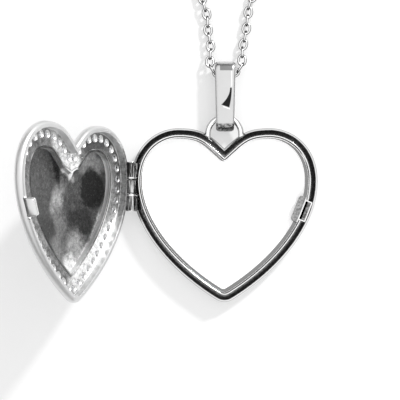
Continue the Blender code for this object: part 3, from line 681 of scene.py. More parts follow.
# %% Tongue tabs
tabs = []
for name, side in (("tab_inner", -1), ("tab_outer", 1)):
    tab = plate(name, (0.2, 2.54, 2.32), catch_place(side * 0.2, PARTING + 0.01),
                0.3, 0.04, upright="X")
    tabs.append(place_in(tab, OPENED))
tab_inner, tab_outer = tabs
foot_bar = plate("tab_root", (0.6, 2.5, 0.3), catch_place(0.0, BORDER_IN - 0.12), 0.08, 0.04)
merge_into(tab_inner, place_in(foot_bar, OPENED))
tell(tab_inner, tab_outer)

# %% [markdown]
# ## Stones
# Each stone is a round brilliant in miniature: an eight-sided table, a sloping crown, a thin
# girdle and a pointed pavilion. One is cut, and the rest are copies, turned to follow the line.
# Between neighbours the setter raises two tiny beads of metal from the border, which hold the
# stones down.


# %% Cut one stone
def cut_stone():
    table_z = BORDER_OUT + 0.1
    rings = []
    for radius, z, turn in ((0.34, table_z, 0.0), (0.5, table_z - 0.07, 0.5),
                            (0.6, table_z - 0.14, 0.0), (0.6, table_z - 0.17, 0.0),
                            (0.3, table_z - 0.31, 0.5)):
        start = 2 * math.pi / 8 * turn
        rings.append([Vector((radius * math.cos(start + math.pi * k / 4),
                              radius * math.sin(start + math.pi * k / 4), z))
                      for k in range(8)])
    point = Vector((0, 0, table_z - 0.42))
    return draw_rings("stone", rings, (Vector((0, 0, table_z)), point), 5)


def copy_mesh(pattern, name, matrix):
    copy = new_object(name, pattern.data.copy())
    copy.data.name = name
    return place_in(copy, matrix)


# %% Set the stones and the beads
one_stone = cut_stone()
pick()
bpy.ops.mesh.primitive_ico_sphere_add(subdivisions=2, radius=0.13 * MM)
one_bead = bpy.context.object
stone_rows, bead_rows = {}, []
for side, word in ((1, "right"), (-1, "left")):
    for part, first, last in (("upper", 0, STONES // 2), ("lower", STONES // 2, STONES)):
        row = []
        for number in range(first, last):
            here, along = SPOTS[2 * number + 1]
            spot = Vector((here.x * side, here.y, 0))
            turn = math.atan2(along.y, along.x * side)
            row.append(copy_mesh(one_stone, "stone_copy",
                                 Matrix.Translation(spot) @ Matrix.Rotation(turn, 4, "Z")))
        merge_into(*row)
        row[0].name = row[0].data.name = "stones_%s_%s_cut" % (part, word)
        stone_rows[(part, word)] = place_in(row[0], OPENED)
    for number in range(STONES + 1):
        here, along = SPOTS[2 * number]
        if here.x < 0.5:
            continue
        across = Vector((-along.y, along.x, 0))
        for offset in (0.4, -0.4):
            spot = here + across * offset
            spot = Vector((spot.x * side, spot.y, BORDER_OUT - 0.02))
            bead_rows.append(copy_mesh(one_bead, "bead_copy", Matrix.Translation(spot)))
beads = merge_into(*bead_rows)
beads.name = beads.data.name = "setting_beads"
place_in(smooth(beads, 60), OPENED)
for pattern in (one_stone, one_bead):
    bpy.data.objects.remove(pattern, do_unlink=True)
print("stones:", 2 * STONES, "beads:", len(bead_rows))

# %% [markdown]
# ## The bail
# A strap of silver is bent into a flat loop that wraps the ring and carries the chain. Its section
# is a rectangle with soft corners, drawn round the loop. The loop is a little wider and deeper at
# the chain's end.


# %% Bail
BAIL_LOW, BAIL_HIGH = PIVOT.y - 2.05, PIVOT.y + 8.0  # the ends of the loop
BAIL_DEPTHS = (2.55, 2.7)  # at the ring's end and at the chain's end
STRAP_WIDTH, STRAP_GROWS, STRAP = 2.56, 0.44, 0.39  # width, more at the top, and thickness


def bail_loop(bend=18, straight=10):
    """Outside of the loop: (y, z, outward angle, strap width) at each step."""
    low, high = BAIL_LOW, BAIL_HIGH
    low_half, high_half = (depth / 2 for depth in BAIL_DEPTHS)
    stops = [(high - high_half, high_half, -math.pi / 2 + math.pi * k / bend)
             for k in range(bend + 1)]
    stops += [(k / straight, None, math.pi / 2) for k in range(1, straight)]
    stops += [(low + low_half, low_half, math.pi / 2 + math.pi * k / bend)
              for k in range(bend + 1)]
    stops += [(1 - k / straight, None, -math.pi / 2) for k in range(1, straight)]
    found = []
    for place, half, turn in stops:
        if half is None:
            y = (high - high_half) * (1 - place) + (low + low_half) * place
            depth = high_half * (1 - place) + low_half * place
        else:
            y, depth = place + half * math.cos(turn), half
        share = (y - low) / (high - low)
        found.append((y, PIVOT.z + depth * math.sin(turn), turn,
                      STRAP_WIDTH + STRAP_GROWS * share))
    return found


rings = []
for y, z, turn, width in bail_loop():
    half = width / 2
    section = soft_profile([(-half, STRAP, 0.08), (-half, 0.24, 0.1), (-half + 0.3, 0.04, 0.16),
                            (0.0, 0.0, 0.6), (half - 0.3, 0.04, 0.16), (half, 0.24, 0.1),
                            (half, STRAP, 0.08)], True, 3)
    rings.append([Vector((0.1 + x, y - math.cos(turn) * depth, z - math.sin(turn) * depth))
                  for x, depth in section])
bail = draw_rings("bail_strap", rings, "loop", 40)
tell(bail)

# %% [markdown]
# ## The chain
# A cable chain is one round link repeated, each turned a quarter from the last. This one is 457 mm
# (18 inches) long, a usual length for a locket. It lies in two loose strands, runs through the
# bail, and the rest of it is wound into a flat coil beyond the top of the view, with the clasp
# beside it. The route below is one smooth line through chosen points. The coil goes in on the
# lower layer and out on the upper one.

# %% The chain's route
CHAIN_LENGTH, CHAIN_WIDTH, LINK_WIDTH, LINK_WIRE = 457.0, 1.3, 1.38, 0.175
LINK_PITCH = 1.17
RIGHT_SIDE = [(8.0, 36.85, 1.3), (7.75, 36.0, 1.05), (6.9, 34.6, 0.72), (5.2, 33.0, 0.67),
              (3.76, 30.5, 0.67), (3.35, 28.2, 0.67), (3.05, 25.9, 0.67), (2.63, 23.9, 0.8),
              (2.54, 22.33, 1.1)]
THROUGH_BAIL = [(2.42, 21.2, 1.3), (1.6, 20.35, 1.4), (0.1, 19.85, 1.42), (-1.3, 20.3, 1.4),
                (-2.0, 21.2, 1.3)]
LEFT_SIDE = [(-2.05, 22.33, 1.1), (-1.95, 23.9, 0.8), (-2.3, 26.3, 0.67), (-2.5, 28.6, 0.67),
             (-3.05, 30.5, 0.67), (-3.55, 33.5, 0.67), (-3.75, 36.5, 0.67),
             (-3.75, 38.7, 0.67), (-3.75, 42.0, 0.68)]
TAIL = [(-3.4, 39.9, 2.02), (-2.3, 40.35, 1.75), (-0.9, 40.6, 1.1), (0.2, 40.6, 0.85),
        (1.72, 40.5, 1.25)]
COIL_CENTRE, COIL_OUTER, TURN_APART = Vector((-14.0, 45.0, 0)), 10.25, 1.35
LAYERS = (0.7, 2.05)  # heights of the two layers
WOUND_IN, WOUND_OUT, CLIMB = 1620.0, 1560.0, 90.0  # degrees in, out, and to change layer


def coil_points(step=22.5):
    """In on the lower layer for four and a half turns, and out again on the upper one."""
    points, turned = [], 0.0
    while turned <= WOUND_IN:
        radius = COIL_OUTER - TURN_APART * turned / 360
        points.append((turned, radius, LAYERS[0]))
        turned += step
    while turned <= WOUND_IN + WOUND_OUT:
        rise = min((turned - WOUND_IN) / CLIMB, 1.0)
        radius = COIL_OUTER - TURN_APART * (WOUND_IN + WOUND_OUT - turned) / 360
        points.append((turned, radius, LAYERS[0] + (LAYERS[1] - LAYERS[0]) * rise))
        turned += step
    return [tuple(COIL_CENTRE + Vector((r * math.cos(math.radians(a)),
                                        r * math.sin(math.radians(a)), z)))
            for a, r, z in points]


def smooth_line(points, spacing):
    """A smooth curve through the points, as a finer row of points."""
    route = [Vector(p) for p in points]
    ends = [route[0] * 2 - route[1]] + route + [route[-1] * 2 - route[-2]]
    fine = []
    for a, b, c, d in zip(ends, ends[1:], ends[2:], ends[3:]):
        count = max(1, round((c - b).length / spacing))
        for k in range(count):
            t = k / count
            fine.append(0.5 * (2 * b + (c - a) * t + (2 * a - 5 * b + 4 * c - d) * t ** 2
                               + (3 * b - a - 3 * c + d) * t ** 3))
    return fine + [route[-1]]


ROUTE = smooth_line(RIGHT_SIDE + THROUGH_BAIL + LEFT_SIDE + coil_points() + TAIL, 0.2)
ROUTE_LENGTHS = along_lengths(ROUTE)
print("chain route: %.1f mm" % ROUTE_LENGTHS[-1])


# %% [markdown]
# One link is a round wire bent into a short oval: a torus, stretched along X. It needs very few
# faces, because there are several hundred links and each is smaller than a pinhead.


# %% One link, and all its copies
def one_link(wire=0.2):
    pick()
    bpy.ops.mesh.primitive_torus_add(major_radius=1.0, minor_radius=wire, major_segments=14,
                                     minor_segments=6)
    link = bpy.context.object
    for vertex in link.data.vertices:
        turn = math.atan2(vertex.co.y, vertex.co.x)
        out = Vector((math.cos(turn), math.sin(turn), 0))
        off = (vertex.co - out) * (LINK_WIRE / wire)
        bend = Vector(((LINK_PITCH / 2 + LINK_WIRE) * out.x,
                       (LINK_WIDTH / 2 - LINK_WIRE) * out.y, 0))
        vertex.co = (bend + off) * MM
    return link


def route_frame(distance):
    """Place and direction on the route at a distance from its start."""
    low, high = 0, len(ROUTE) - 1
    while high - low > 1:
        middle = (low + high) // 2
        low, high = (middle, high) if ROUTE_LENGTHS[middle] <= distance else (low, middle)
    share = (distance - ROUTE_LENGTHS[low]) / (ROUTE_LENGTHS[high] - ROUTE_LENGTHS[low])
    along = (ROUTE[min(high + 1, len(ROUTE) - 1)] - ROUTE[max(low - 1, 0)]).normalized()
    return ROUTE[low].lerp(ROUTE[high], share), along


def chain_of_links(name, chosen, link):
    """One mesh holding a copy of the link at each chosen place."""
    pattern = [v.co.copy() for v in link.data.vertices]
    corners = [tuple(p.vertices) for p in link.data.polygons]
    points, faces = [], []
    for number, spot, along in chosen:
        side = along.cross(Z).normalized()
        up = side.cross(along)
        first, second = (side, up) if number % 2 == 0 else (up, -side)
        base = len(points)
        points += [spot * MM + along * p.x + first * p.y + second * p.z for p in pattern]
        faces += [tuple(base + k for k in face) for face in corners]
    mesh = bpy.data.meshes.new(name)
    mesh.from_pydata([tuple(p) for p in points], [], faces)
    mesh.shade_smooth()
    return new_object(name, mesh)


# %% Lay the links along the route
link = one_link()
LINK_COUNT = round(ROUTE_LENGTHS[-1] / LINK_PITCH)
links = []
for number in range(LINK_COUNT + 1):
    spot, along = route_frame(ROUTE_LENGTHS[-1] * number / LINK_COUNT)
    links.append((number, spot, along))
bail_end = BAIL_HIGH + 0.45
in_bail = [item for item in links if item[1].y < bail_end]
chain = chain_of_links("chain_links", [item for item in links if item not in in_bail], link)
bail_links = chain_of_links("bail_links", in_bail, link)
bpy.data.objects.remove(link, do_unlink=True)
print("links:", LINK_COUNT + 1, "of them in the bail:", len(in_bail))

# %% [markdown]
# ## The clasp
# A spring ring is a bent tube with a gap. A bolt slides in the tube and bridges the gap, a small
# tab on the bolt lets a thumb draw it back, and a coil spring inside pushes it shut again.


# %% Clasp parts
CLASP_BEND, CLASP_TUBE, CLASP_BORE, BOLT = 2.1, 0.75, 0.52, 0.42
MOUTH, TAB_AT, TRAVEL = 25.0, 60.0, 45.0  # degrees: half the gap, the tab, its slot
SMALL_RING, SMALL_WIRE = 0.8, 0.22


def bend_point(degrees, radius, height=0.0):
    turn = math.radians(degrees)
    return CLASP + Vector((radius * math.cos(turn), radius * math.sin(turn), height))


def bend_ring(degrees, radius, sides=24):
    out = (bend_point(degrees, 1.0) - CLASP).normalized()
    return round_points(radius, sides, bend_point(degrees, CLASP_BEND), out, Z)


def bent_bar(name, start, end, inner, outer, half_height):
    """A flat bar that follows the clasp's bend from one angle to another."""
    rings = []
    for k in range(9):
        at = start + (end - start) * k / 8
        rings.append([bend_point(at, inner, -half_height), bend_point(at, outer, -half_height),
                      bend_point(at, outer, half_height), bend_point(at, inner, half_height)])
    return draw_rings(name, rings, "flat", 30)


# %% Clasp tube
steps = [MOUTH + (360 - 2 * MOUTH) * k / 60 for k in range(61)]
outside = [bend_ring(MOUTH, CLASP_TUBE - 0.06)] + [bend_ring(a, CLASP_TUBE) for a in steps]
outside += [bend_ring(360 - MOUTH, CLASP_TUBE - 0.06)]
inside = [bend_ring(a, CLASP_BORE) for a in reversed(steps[::3])]
clasp_body = draw_rings("clasp_tube", outside + inside, "loop", 40)
carve(clasp_body, bent_bar("tab_room", TAB_AT - 11, TAB_AT + TRAVEL + 11, 2.1, 3.4, 0.28))
smooth(clasp_body, 40)
print("clasp mouth:", 2 * MOUTH, "degrees")

# %% Bolt, spring and rings
bolt_steps = [3.0 - MOUTH + (TAB_AT + 25.0 - 3.0 + MOUTH) * k / 24 for k in range(25)]
bolt_rings = [bend_ring(bolt_steps[0] - 4.0, BOLT * 0.35),
              bend_ring(bolt_steps[0] - 2.5, BOLT * 0.8)]
bolt_rings += [bend_ring(a, BOLT) for a in bolt_steps]
bolt = draw_rings("bolt", bolt_rings, "flat", 50)
thumb = bent_bar("thumb", TAB_AT - 5, TAB_AT + 5, 2.2, 3.2, 0.19)
knob = plate("knob", (0.34, 0.62, 0.62),
             Matrix.Translation(bend_point(TAB_AT, 3.16))
             @ Matrix.Rotation(math.radians(TAB_AT), 4, "Z"), 0.2, 0.05, upright="X")
merge_into(bolt, thumb, knob)

turns, coil_radius, spring_line = 15, 0.33, []
for k in range(turns * 12 + 1):
    at = 134.0 + 184.0 * k / (turns * 12)
    coil = 2 * math.pi * k / 12
    spring_line.append(bend_point(at, CLASP_BEND + coil_radius * math.cos(coil),
                                  coil_radius * math.sin(coil)))
clasp_spring = bent_wire("clasp_coil", spring_line, 0.08, 6, up=Vector((0.3, 0.2, 1)))


def wire_ring(name, centre, radius, first, second):
    line = round_points(radius, 36, centre, first, second)
    return bent_wire(name, line, SMALL_WIRE, 12, up=first.cross(second), ends="loop")


loop_x = CLASP.x - CLASP_BEND - CLASP_TUBE - SMALL_RING - SMALL_WIRE - GAP
clasp_loop = wire_ring("clasp_eye", Vector((loop_x, CLASP.y, CLASP.z)), SMALL_RING, X, Y)
link_x = loop_x - 2 * SMALL_RING + 2 * SMALL_WIRE + GAP
clasp_link = wire_ring("clasp_jump_ring", Vector((link_x, CLASP.y, CLASP.z)), SMALL_RING, X, Z)
end_ring = wire_ring("chain_end_ring", CLASP - Y * CLASP_BEND, 1.13, Y, Z)
print("spring turns:", turns, "eye at x =", round(loop_x, 2))

# %% [markdown]
# ## Finishes
# Materials are built from nodes. Two small classes keep that readable: `Wire` is one output of a
# node, and Python's own signs add Math nodes to it; `Finish` holds one material and adds any
# other node.


# %% A wire that can be added and multiplied
class Wire:
    """One output of a node. The signs + - * / add Math nodes."""

    def __init__(self, finish, socket):
        self.finish, self.socket = finish, socket

    def maths(self, operation, *values):
        return self.finish.add("Math", {"operation": operation}, values)

    def __add__(self, other): return self.maths("ADD", self, other)
    def __radd__(self, other): return self.maths("ADD", other, self)
    def __sub__(self, other): return self.maths("SUBTRACT", self, other)
    def __rsub__(self, other): return self.maths("SUBTRACT", other, self)
    def __mul__(self, other): return self.maths("MULTIPLY", self, other)
    def __rmul__(self, other): return self.maths("MULTIPLY", other, self)
    def __truediv__(self, other): return self.maths("DIVIDE", self, other)
    def __pow__(self, other): return self.maths("POWER", self, other)
    def size(self): return self.maths("ABSOLUTE", self)
    def root(self): return self.maths("SQRT", self)


def fill_ramp(ramp, stops):
    """Gives a colour ramp its grey stops."""
    while len(ramp.elements) < len(stops):
        ramp.elements.new(0.5)
    for element, (place, value) in zip(ramp.elements, stops):
        element.position, element.color = place, (value, value, value, 1.0)


# %% A finish holds one material
class Finish:
    """One material on the Principled shader."""

    def __init__(self, name, **constants):
        self.material = bpy.data.materials.new(name)
        self.material.use_nodes = True
        self.nodes = self.material.node_tree.nodes
        self.links = self.material.node_tree.links
        self.shader = self.nodes["Principled BSDF"]
        for key, value in constants.items():
            self.put("IOR" if key == "ior" else key.replace("_", " ").title(), value)

    def add(self, kind, settings=None, values=(), out=0):
        """A node of a kind, its settings, the values or wires of its inputs; gives one output."""
        node = self.nodes.new("ShaderNode" + kind)
        for key, value in (settings or {}).items():
            if key == "stops":
                fill_ramp(node.color_ramp, value)
            else:
                setattr(node, key, value)
        pairs = values.items() if isinstance(values, dict) else enumerate(values)
        for key, value in pairs:
            self.join(value, node.inputs[key])
        return Wire(self, node.outputs[out])

    def join(self, value, socket):
        if isinstance(value, Wire):
            self.links.new(value.socket, socket)
        elif isinstance(value, (int, float)) and hasattr(socket.default_value, "__len__"):
            socket.default_value = [value] * 3 + [1.0] * (len(socket.default_value) - 3)
        else:
            socket.default_value = value

    def put(self, name, value):
        """A value or a wire for one of the shader's sockets."""
        self.join(value, self.shader.inputs[name])

    def place(self):
        """Position on the piece, in millimetres."""
        here = self.add("TexCoord", out="Object")
        return self.add("VectorMath", {"operation": "SCALE"}, {0: here, "Scale": 1 / MM})

    def parts(self, vector):
        outputs = self.add("SeparateXYZ", None, [vector]).socket.node.outputs
        return [Wire(self, outputs[k]) for k in range(3)]

    def upward(self):
        """1 where the surface faces up, 0 where it is upright, -1 where it faces down."""
        return self.parts(self.add("TexCoord", out="Normal"))[2]

    def reach(self, vector, axis):
        """How far a vector reaches along an axis."""
        return self.add("VectorMath", {"operation": "DOT_PRODUCT"}, [vector, tuple(axis)],
                        out="Value")

    def away(self, vector, spot):
        """The way from a spot to a position."""
        return self.add("VectorMath", {"operation": "SUBTRACT"}, [vector, tuple(spot)])

    def noise(self, vector, scale, detail=2.0, roughness=0.5):
        return self.add("TexNoise", None, {"Vector": vector, "Scale": scale, "Detail": detail,
                                           "Roughness": roughness})

    def step(self, value, low, high):
        """0 below low, 1 above high, and a smooth rise between."""
        return self.add("MapRange", {"interpolation_type": "SMOOTHSTEP"},
                        {"Value": value, "From Min": low, "From Max": high})

    def fade(self, value, low, high):
        """1 below low, 0 above high."""
        return 1 - self.step(value, low, high)

    def band(self, value, start, full, fall, end):
        """1 from full to fall, and 0 before start and after end."""
        return self.step(value, start, full) * self.fade(value, fall, end)

    def colour(self, tone):
        """The piece's colour, a grey from one number."""
        self.put("Base Color", self.add("CombineColor", None, [tone, tone, tone]))

    def bump(self, height, distance, strength=1.0):
        self.put("Normal", self.add("Bump", None, {"Height": height, "Strength": strength,
                                                   "Distance": distance * MM}))


def toward(tone, value, mask):
    """Moves a tone towards a value where the mask is 1."""
    return tone + (value - tone) * mask


def dress(finish, *pieces):
    for piece in pieces:
        piece.data.materials.clear()
        piece.data.materials.append(finish.material)
    print(finish.material.name, "on", ", ".join(piece.name for piece in pieces))


# %% [markdown]
# ** Polished silver.** Silver is the whitest of metals, and the finish is nearly a mirror. What
# keeps it from looking like computer chrome is what hands do to it: hairlines from the polishing
# wheel, all roughly one way, and faint cloudy patches where it has been touched. Where a wire or
# a tube turns away from the top, its colour is painted darker: a painted reflection of the dark
# surroundings.


# %% Polished silver
def silver(name, colour=0.9, roughness=0.09, hairlines=0.02, cloud=0.05, turned=None,
           shade=None):
    finish = Finish(name, metallic=1.0)
    here = finish.place()
    patches = finish.noise(here, 0.45, 3.0)
    stretched = finish.add("Mapping", None, {"Vector": here, "Scale": (1.2, 14.0, 6.0),
                                             "Rotation": (0.0, 0.0, 0.5)})
    lines = finish.noise(stretched, 2.2, 4.0, 0.6)
    tone = colour - cloud * (1 - patches)
    # painted reflection: the ramp darkens the colour where the surface turns away from the top
    if turned is not None:
        up = finish.upward().size()
        tone = tone * finish.add("ValToRGB", {"stops": turned}, [up + 0.2 * (patches - 0.5)])
    if shade is not None:
        tone = tone * shade(finish, here, patches)
    finish.colour(tone)
    finish.put("Roughness", roughness + 0.3 * (patches - 0.45) * (patches - 0.45)
               + hairlines * lines)
    finish.bump(lines, 0.002, 0.5)
    return finish


def back_shade(finish, here, patches):
    """Painted shade in the recess, on the belly and by the hinge; a painted dark reflection on the
    rim.
    """
    x, y, z = finish.parts(here)
    up = finish.upward()
    mottle = finish.step(finish.noise(here, 2.4, 4.0, 0.7), 0.38, 0.62)
    # painted shade on the recess floor
    recess = finish.fade(z, 0.7, 0.9) * finish.step(up, 0.8, 0.9)
    # painted shade, mottled, on the shell beside the hinge
    hinge_shade = (finish.fade(x, HINGE.x + 1.2, HINGE.x + 1.7)
              * finish.fade((y - HINGE.y).size(), 4.4, 5.6))
    # painted shade on the outward-facing wall, stronger towards the top
    belly = finish.fade(up, 0.35, 0.6) * finish.step(z, 0.9, 1.1)
    # painted dark reflection on the rim's slope
    slope = finish.band(up, 0.55, 0.68, 0.93, 0.98) * finish.step(z, 1.6, 1.9)
    shade = 1 - 0.72 * recess
    shade = shade * (1 - (0.38 + 0.3 * finish.step(y, 2.0, 8.0)) * belly)
    shade = shade * (1 - (0.45 + 0.3 * mottle) * slope)
    return shade * (1 - hinge_shade * (0.93 - 0.45 * mottle))


def tube_shade(finish, here, patches):
    """Painted reflection as streaks, painted highlights at the ends, painted shade at the gaps."""
    drawn = finish.add("Mapping", None, {"Vector": here, "Scale": (5.2, 0.35, 5.2)})
    # painted reflection: dark and light streaks along the tubes
    reflection_streaks = 0.05 + 0.65 * finish.step(finish.noise(drawn, 1.0, 3.0, 0.6), 0.46, 0.62)
    off = (finish.parts(here)[1] - HINGE.y).size()
    # painted highlights at the knuckles' ends
    end_highlight = finish.fade((off - 1.22).size(), 0.06, 0.16) + finish.step(off, 3.38, 3.48)
    # painted shade at the gaps between knuckles
    joint = finish.fade((off - 0.98).size(), 0.08, 0.14)
    return toward(reflection_streaks, 0.9, end_highlight) * (1 - 0.85 * joint)


# %% Dress the silver pieces
bright = silver("polished silver")
back_metal = silver("back silver", shade=back_shade)
# outlined silver and chain silver get that painted dark reflection on the sides of their wires
outlined = silver("outlined silver", 0.97, 0.12, 0.02, 0.03, [(0.35, 0.2), (0.8, 1.0)])
tubes = silver("tube silver", 0.97, 0.12, 0.04, 0.03, shade=tube_shade)
chain_metal = silver("chain silver", 0.97, 0.14, 0.02, 0.03, [(0.62, 0.1), (0.95, 0.95)])
dress(bright, lip, pin, beads)
dress(back_metal, back_case)
dress(outlined, hanging_ring)
dress(tubes, hinge_upper, hinge_lower, hinge_middle)
dress(chain_metal, chain, bail_links, clasp_body, bolt, clasp_spring, clasp_loop, clasp_link,
      end_ring)

# %% [markdown]
# ** Inside of the cover.** The inside was pressed, drilled and never polished like the outside, so
# it is rougher. Its colour is painted dark, with soft lighter and darker ovals: painted reflections
# of the surroundings, with tiny painted glints, and painted shade beside the hinge and in the
# holes. `cover_place` turns a position into numbers that lie in the open cover: `along` from the
# hinge, `up` towards the chain, `depth` through the metal to the outside, and `facing`, which is 1
# where the surface looks into the cover and 0 on its walls. A `blob` is a soft-edged oval in that
# plane, and noise bends its edge.

# %% Places on the cover
open_turn = math.radians(OPEN_ANGLE)
INWARD = Vector((math.sin(open_turn), 0.0, -math.cos(open_turn)))
OUTWARD = Vector((math.cos(open_turn), 0.0, math.sin(open_turn)))


def cover_place(finish):
    here = finish.place()
    from_hinge = finish.away(here, HINGE)
    along, depth = finish.reach(from_hinge, OUTWARD), finish.reach(from_hinge, -INWARD)
    facing = finish.reach(finish.add("TexCoord", out="Normal"), INWARD)
    return here, along, finish.parts(here)[1], depth, facing


def blob(finish, along, up, centre, radii, turn=0.0, soft=0.45):
    """1 inside an oval, 0 outside it."""
    cos, sin = math.cos(math.radians(turn)), math.sin(math.radians(turn))
    right, top = along - centre[0], up - centre[1]
    one = (right * cos + top * sin) * (1 / radii[0])
    two = (top * cos - right * sin) * (1 / radii[1])
    return finish.fade((one * one + two * two).root(), 1 - soft, 1 + soft)


print("the cover looks along", INWARD)

# %% Painted reflections inside the cover
def painted_reflections(name, ground, blobs, grain=0.4, wall=0.74, flat=(0.25, 0.75), holes=False):
    finish = Finish(name, metallic=1.0)
    here, along, up, depth, facing = cover_place(finish)
    drift = finish.noise(here, 0.45, 4.0, 0.65) - 0.5
    sway = finish.noise(here, 0.6, 4.0, 0.65) - 0.5
    speck = finish.step(finish.noise(here, 1.8, 5.0, 0.8), 0.32, 0.68)
    painted_glint = finish.step(finish.noise(here, 3.2, 3.0, 0.7), 0.57, 0.64)
    along, up = along + 2.2 * drift, up + 2.2 * sway
    tone = ground * (1 + 1.4 * drift)
    # painted reflections: each oval moves the tone towards its own grey
    for centre, radii, turn, soft, value in blobs:
        tone = toward(tone, value, blob(finish, along, up, centre, radii, turn, soft))
    # painted glints: tiny bright specks added to the tone
    tone = tone * (1 - grain + 2 * grain * speck) + 0.2 * painted_glint * tone.root()
    inside = finish.step(facing, *flat) * finish.step(depth, 0.45, 0.75)
    outside = finish.step(facing, -0.25, -0.75)
    # painted shade, mottled, on the walls beside the hinge
    by_hinge = finish.fade(along, 1.2, 2.8) * (1 - outside)
    tone = tone * inside + wall * (1 - by_hinge * (0.8 - 0.45 * speck)) * (1 - inside)
    tone = tone + (0.7 + 0.1 * drift - tone) * outside
    # painted shade inside the seat holes
    if holes:
        deep = finish.step(depth, 1.22, 1.26) * (1 - outside)
        upright = finish.fade(facing.size(), 0.2, 0.35)
        tone = tone * (1 - 0.93 * deep * upright * finish.step(depth, 1.62, 1.58))
    finish.colour(tone)
    finish.put("Roughness", 0.4 - 0.3 * outside - 0.12 * inside + 0.06 * speck)
    finish.bump(speck, 0.01, 0.4)
    return finish


# %% Painted reflections of the raised heart and of the border: centre, radii, turn, softness and tone
bowl = painted_reflections("clouded bowl", 0.07, [
    ((15.0, 1.2), (1.2, 2.6), 25, 0.6, 0.36),
    ((14.6, -1.4), (1.9, 2.4), 0, 0.5, 0.16),
    ((7.0, 6.9), (3.0, 1.4), 0, 0.4, 0.17),
    ((6.6, 3.4), (2.6, 2.9), -12, 0.15, 0.016),
    ((9.6, -1.2), (2.6, 2.2), 0, 0.3, 0.035),
    ((18.0, -2.2), (2.4, 2.0), 0, 0.4, 0.04),
    ((15.4, -6.0), (2.0, 2.4), 0, 0.5, 0.2),
    ((10.9, -5.0), (2.0, 2.4), 0, 0.5, 0.36),
    ((12.6, -7.2), (1.4, 1.3), 0, 0.5, 0.85),
    ((14.0, 6.7), (3.4, 0.9), 37, 0.35, 0.85),
], wall=0.95)
border = painted_reflections("clouded border", 0.2, [
    ((14.5, 8.4), (4.2, 1.9), 40, 0.3, 0.75),
    ((7.6, 9.4), (3.4, 1.1), 0, 0.4, 0.11),
    ((2.6, 1.0), (2.0, 5.5), 0, 0.4, 0.28),
    ((7.5, -5.6), (7.8, 2.0), -38, 0.3, 0.85),
    ((22.6, 3.0), (1.6, 5.0), 0, 0.4, 0.22),
], 0.5, flat=(0.8, 0.93), holes=True)
tongue = silver("tongue silver", 0.97, 0.3, 0.03, 0.06)
dress(bowl, raised_heart)
dress(border, cover_frame)
dress(tongue, tab_inner, tab_outer)

# %% [markdown]
# ** The bail.** A broad strap, buffed but not mirror bright, so it reads as one pale grey face.
# On its front is the dark curved reflection that a hollow strap shows, painted here as a darker,
# glossier part of the metal, with painted highlights beside and under it. Its upper bend has a
# painted grey reflection, and its lower end, where it wraps the ring, painted shade.

# %% Painted reflections, highlights and shade on the strap
buffed = Finish("buffed strap", metallic=1.0)
bail_here = buffed.place()
bail_x, bail_y, _ = buffed.parts(bail_here)
fall = (18.02 - bail_y) / 2.4  # 0 at the point of the wedge, 1 near its foot
fall = fall * buffed.step(fall, -0.01, 0.01)
left_edge = 0.78 - 1.22 * (fall + 0.0001) ** 2.1
right_edge = 1.04 - 0.26 * fall * fall
low_edge = 15.15 + 0.35 * (0.78 - bail_x)
front = buffed.step(buffed.upward(), 0.5, 0.8)
# wedge: painted dark reflection on the strap's front
wedge = (buffed.step(bail_x - left_edge, -0.03, 0.05)
         * buffed.fade(bail_x - right_edge, -0.04, 0.04)
         * buffed.step(bail_y - low_edge, -0.05, 0.07) * buffed.fade(bail_y, 17.95, 18.1))
# painted highlight: a bright line along the strap's right side
painted_highlight = (buffed.band(bail_x, 0.9, 0.98, 1.06, 1.14)
         * buffed.band(bail_y, 17.9, 18.4, 20.3, 20.5))
# painted highlight under the wedge
under_wedge_highlight = (buffed.band(bail_y - low_edge, -0.3, -0.2, -0.12, -0.04)
              * buffed.band(bail_x, -0.3, -0.1, 0.7, 0.85))
# painted grey reflection on the strap's upper bend
bend_reflection = (buffed.band(bail_x, -0.7, -0.58, 1.1, 1.22)
          * buffed.band(bail_y, 20.42, 20.55, 21.2, 21.35))
# painted shade, mottled, on the strap's lower end where it wraps the ring
under = buffed.fade(bail_y, 12.75, 13.05)
print("nodes for the marks:", len(buffed.nodes))

# %% The strap's metal
mottle = buffed.noise(bail_here, 2.6, 4.0, 0.7)
strap_tone = 0.6 + 0.1 * buffed.noise(bail_here, 0.5, 2.0)
for value, mask in ((0.97, painted_highlight + under_wedge_highlight), (0.02, wedge * front), (0.25, bend_reflection),
                    (0.08 + 0.4 * buffed.step(mottle, 0.4, 0.62), under)):
    strap_tone = toward(strap_tone, value, mask)
buffed.colour(strap_tone)
buffed.put("Roughness", 0.3 - 0.15 * wedge)
buffed.bump(mottle, 0.004, 0.4)
dress(buffed, bail)

# %% [markdown]
# ** The catch.** The slot is a deep narrow box: hardly any light comes back out of it, so its
# inside is painted dark as painted shade. The ledge was filed by hand and is duller than the walls.

# %% Catch
filed = Finish("filed silver", metallic=1.0)
filed_here = filed.place()
middle = catch_place()
turned = filed.away(filed_here, middle.translation)
side_axis, long_axis = middle.to_3x3().col[0], middle.to_3x3().col[1]
aside, endways = filed.reach(turned, side_axis), filed.reach(turned, long_axis)
file_marks = filed.noise(filed_here, 3.5, 4.0, 0.7)
height = filed.parts(filed_here)[2]
# painted shade inside the slot
slot_shade = (filed.fade(aside.size(), 0.36, 0.42) * filed.fade(endways.size(), 1.3, 1.37)
           * filed.fade(height, LIP_TOP - 0.12, LIP_TOP - 0.02))
on_ledge = filed.fade(aside, -0.62, -0.52)
rough_marks = filed.step(file_marks, 0.36, 0.64)
filed_tone = toward(0.92, 0.2 + 0.26 * rough_marks, on_ledge)
filed_tone = filed_tone * (1 - slot_shade) + slot_shade * (0.03 + 0.3 * rough_marks)
filed.colour(filed_tone)
filed.put("Roughness", 0.14 + 0.3 * on_ledge)
filed.bump(file_marks, 0.01, 0.4)
dress(filed, catch_body)

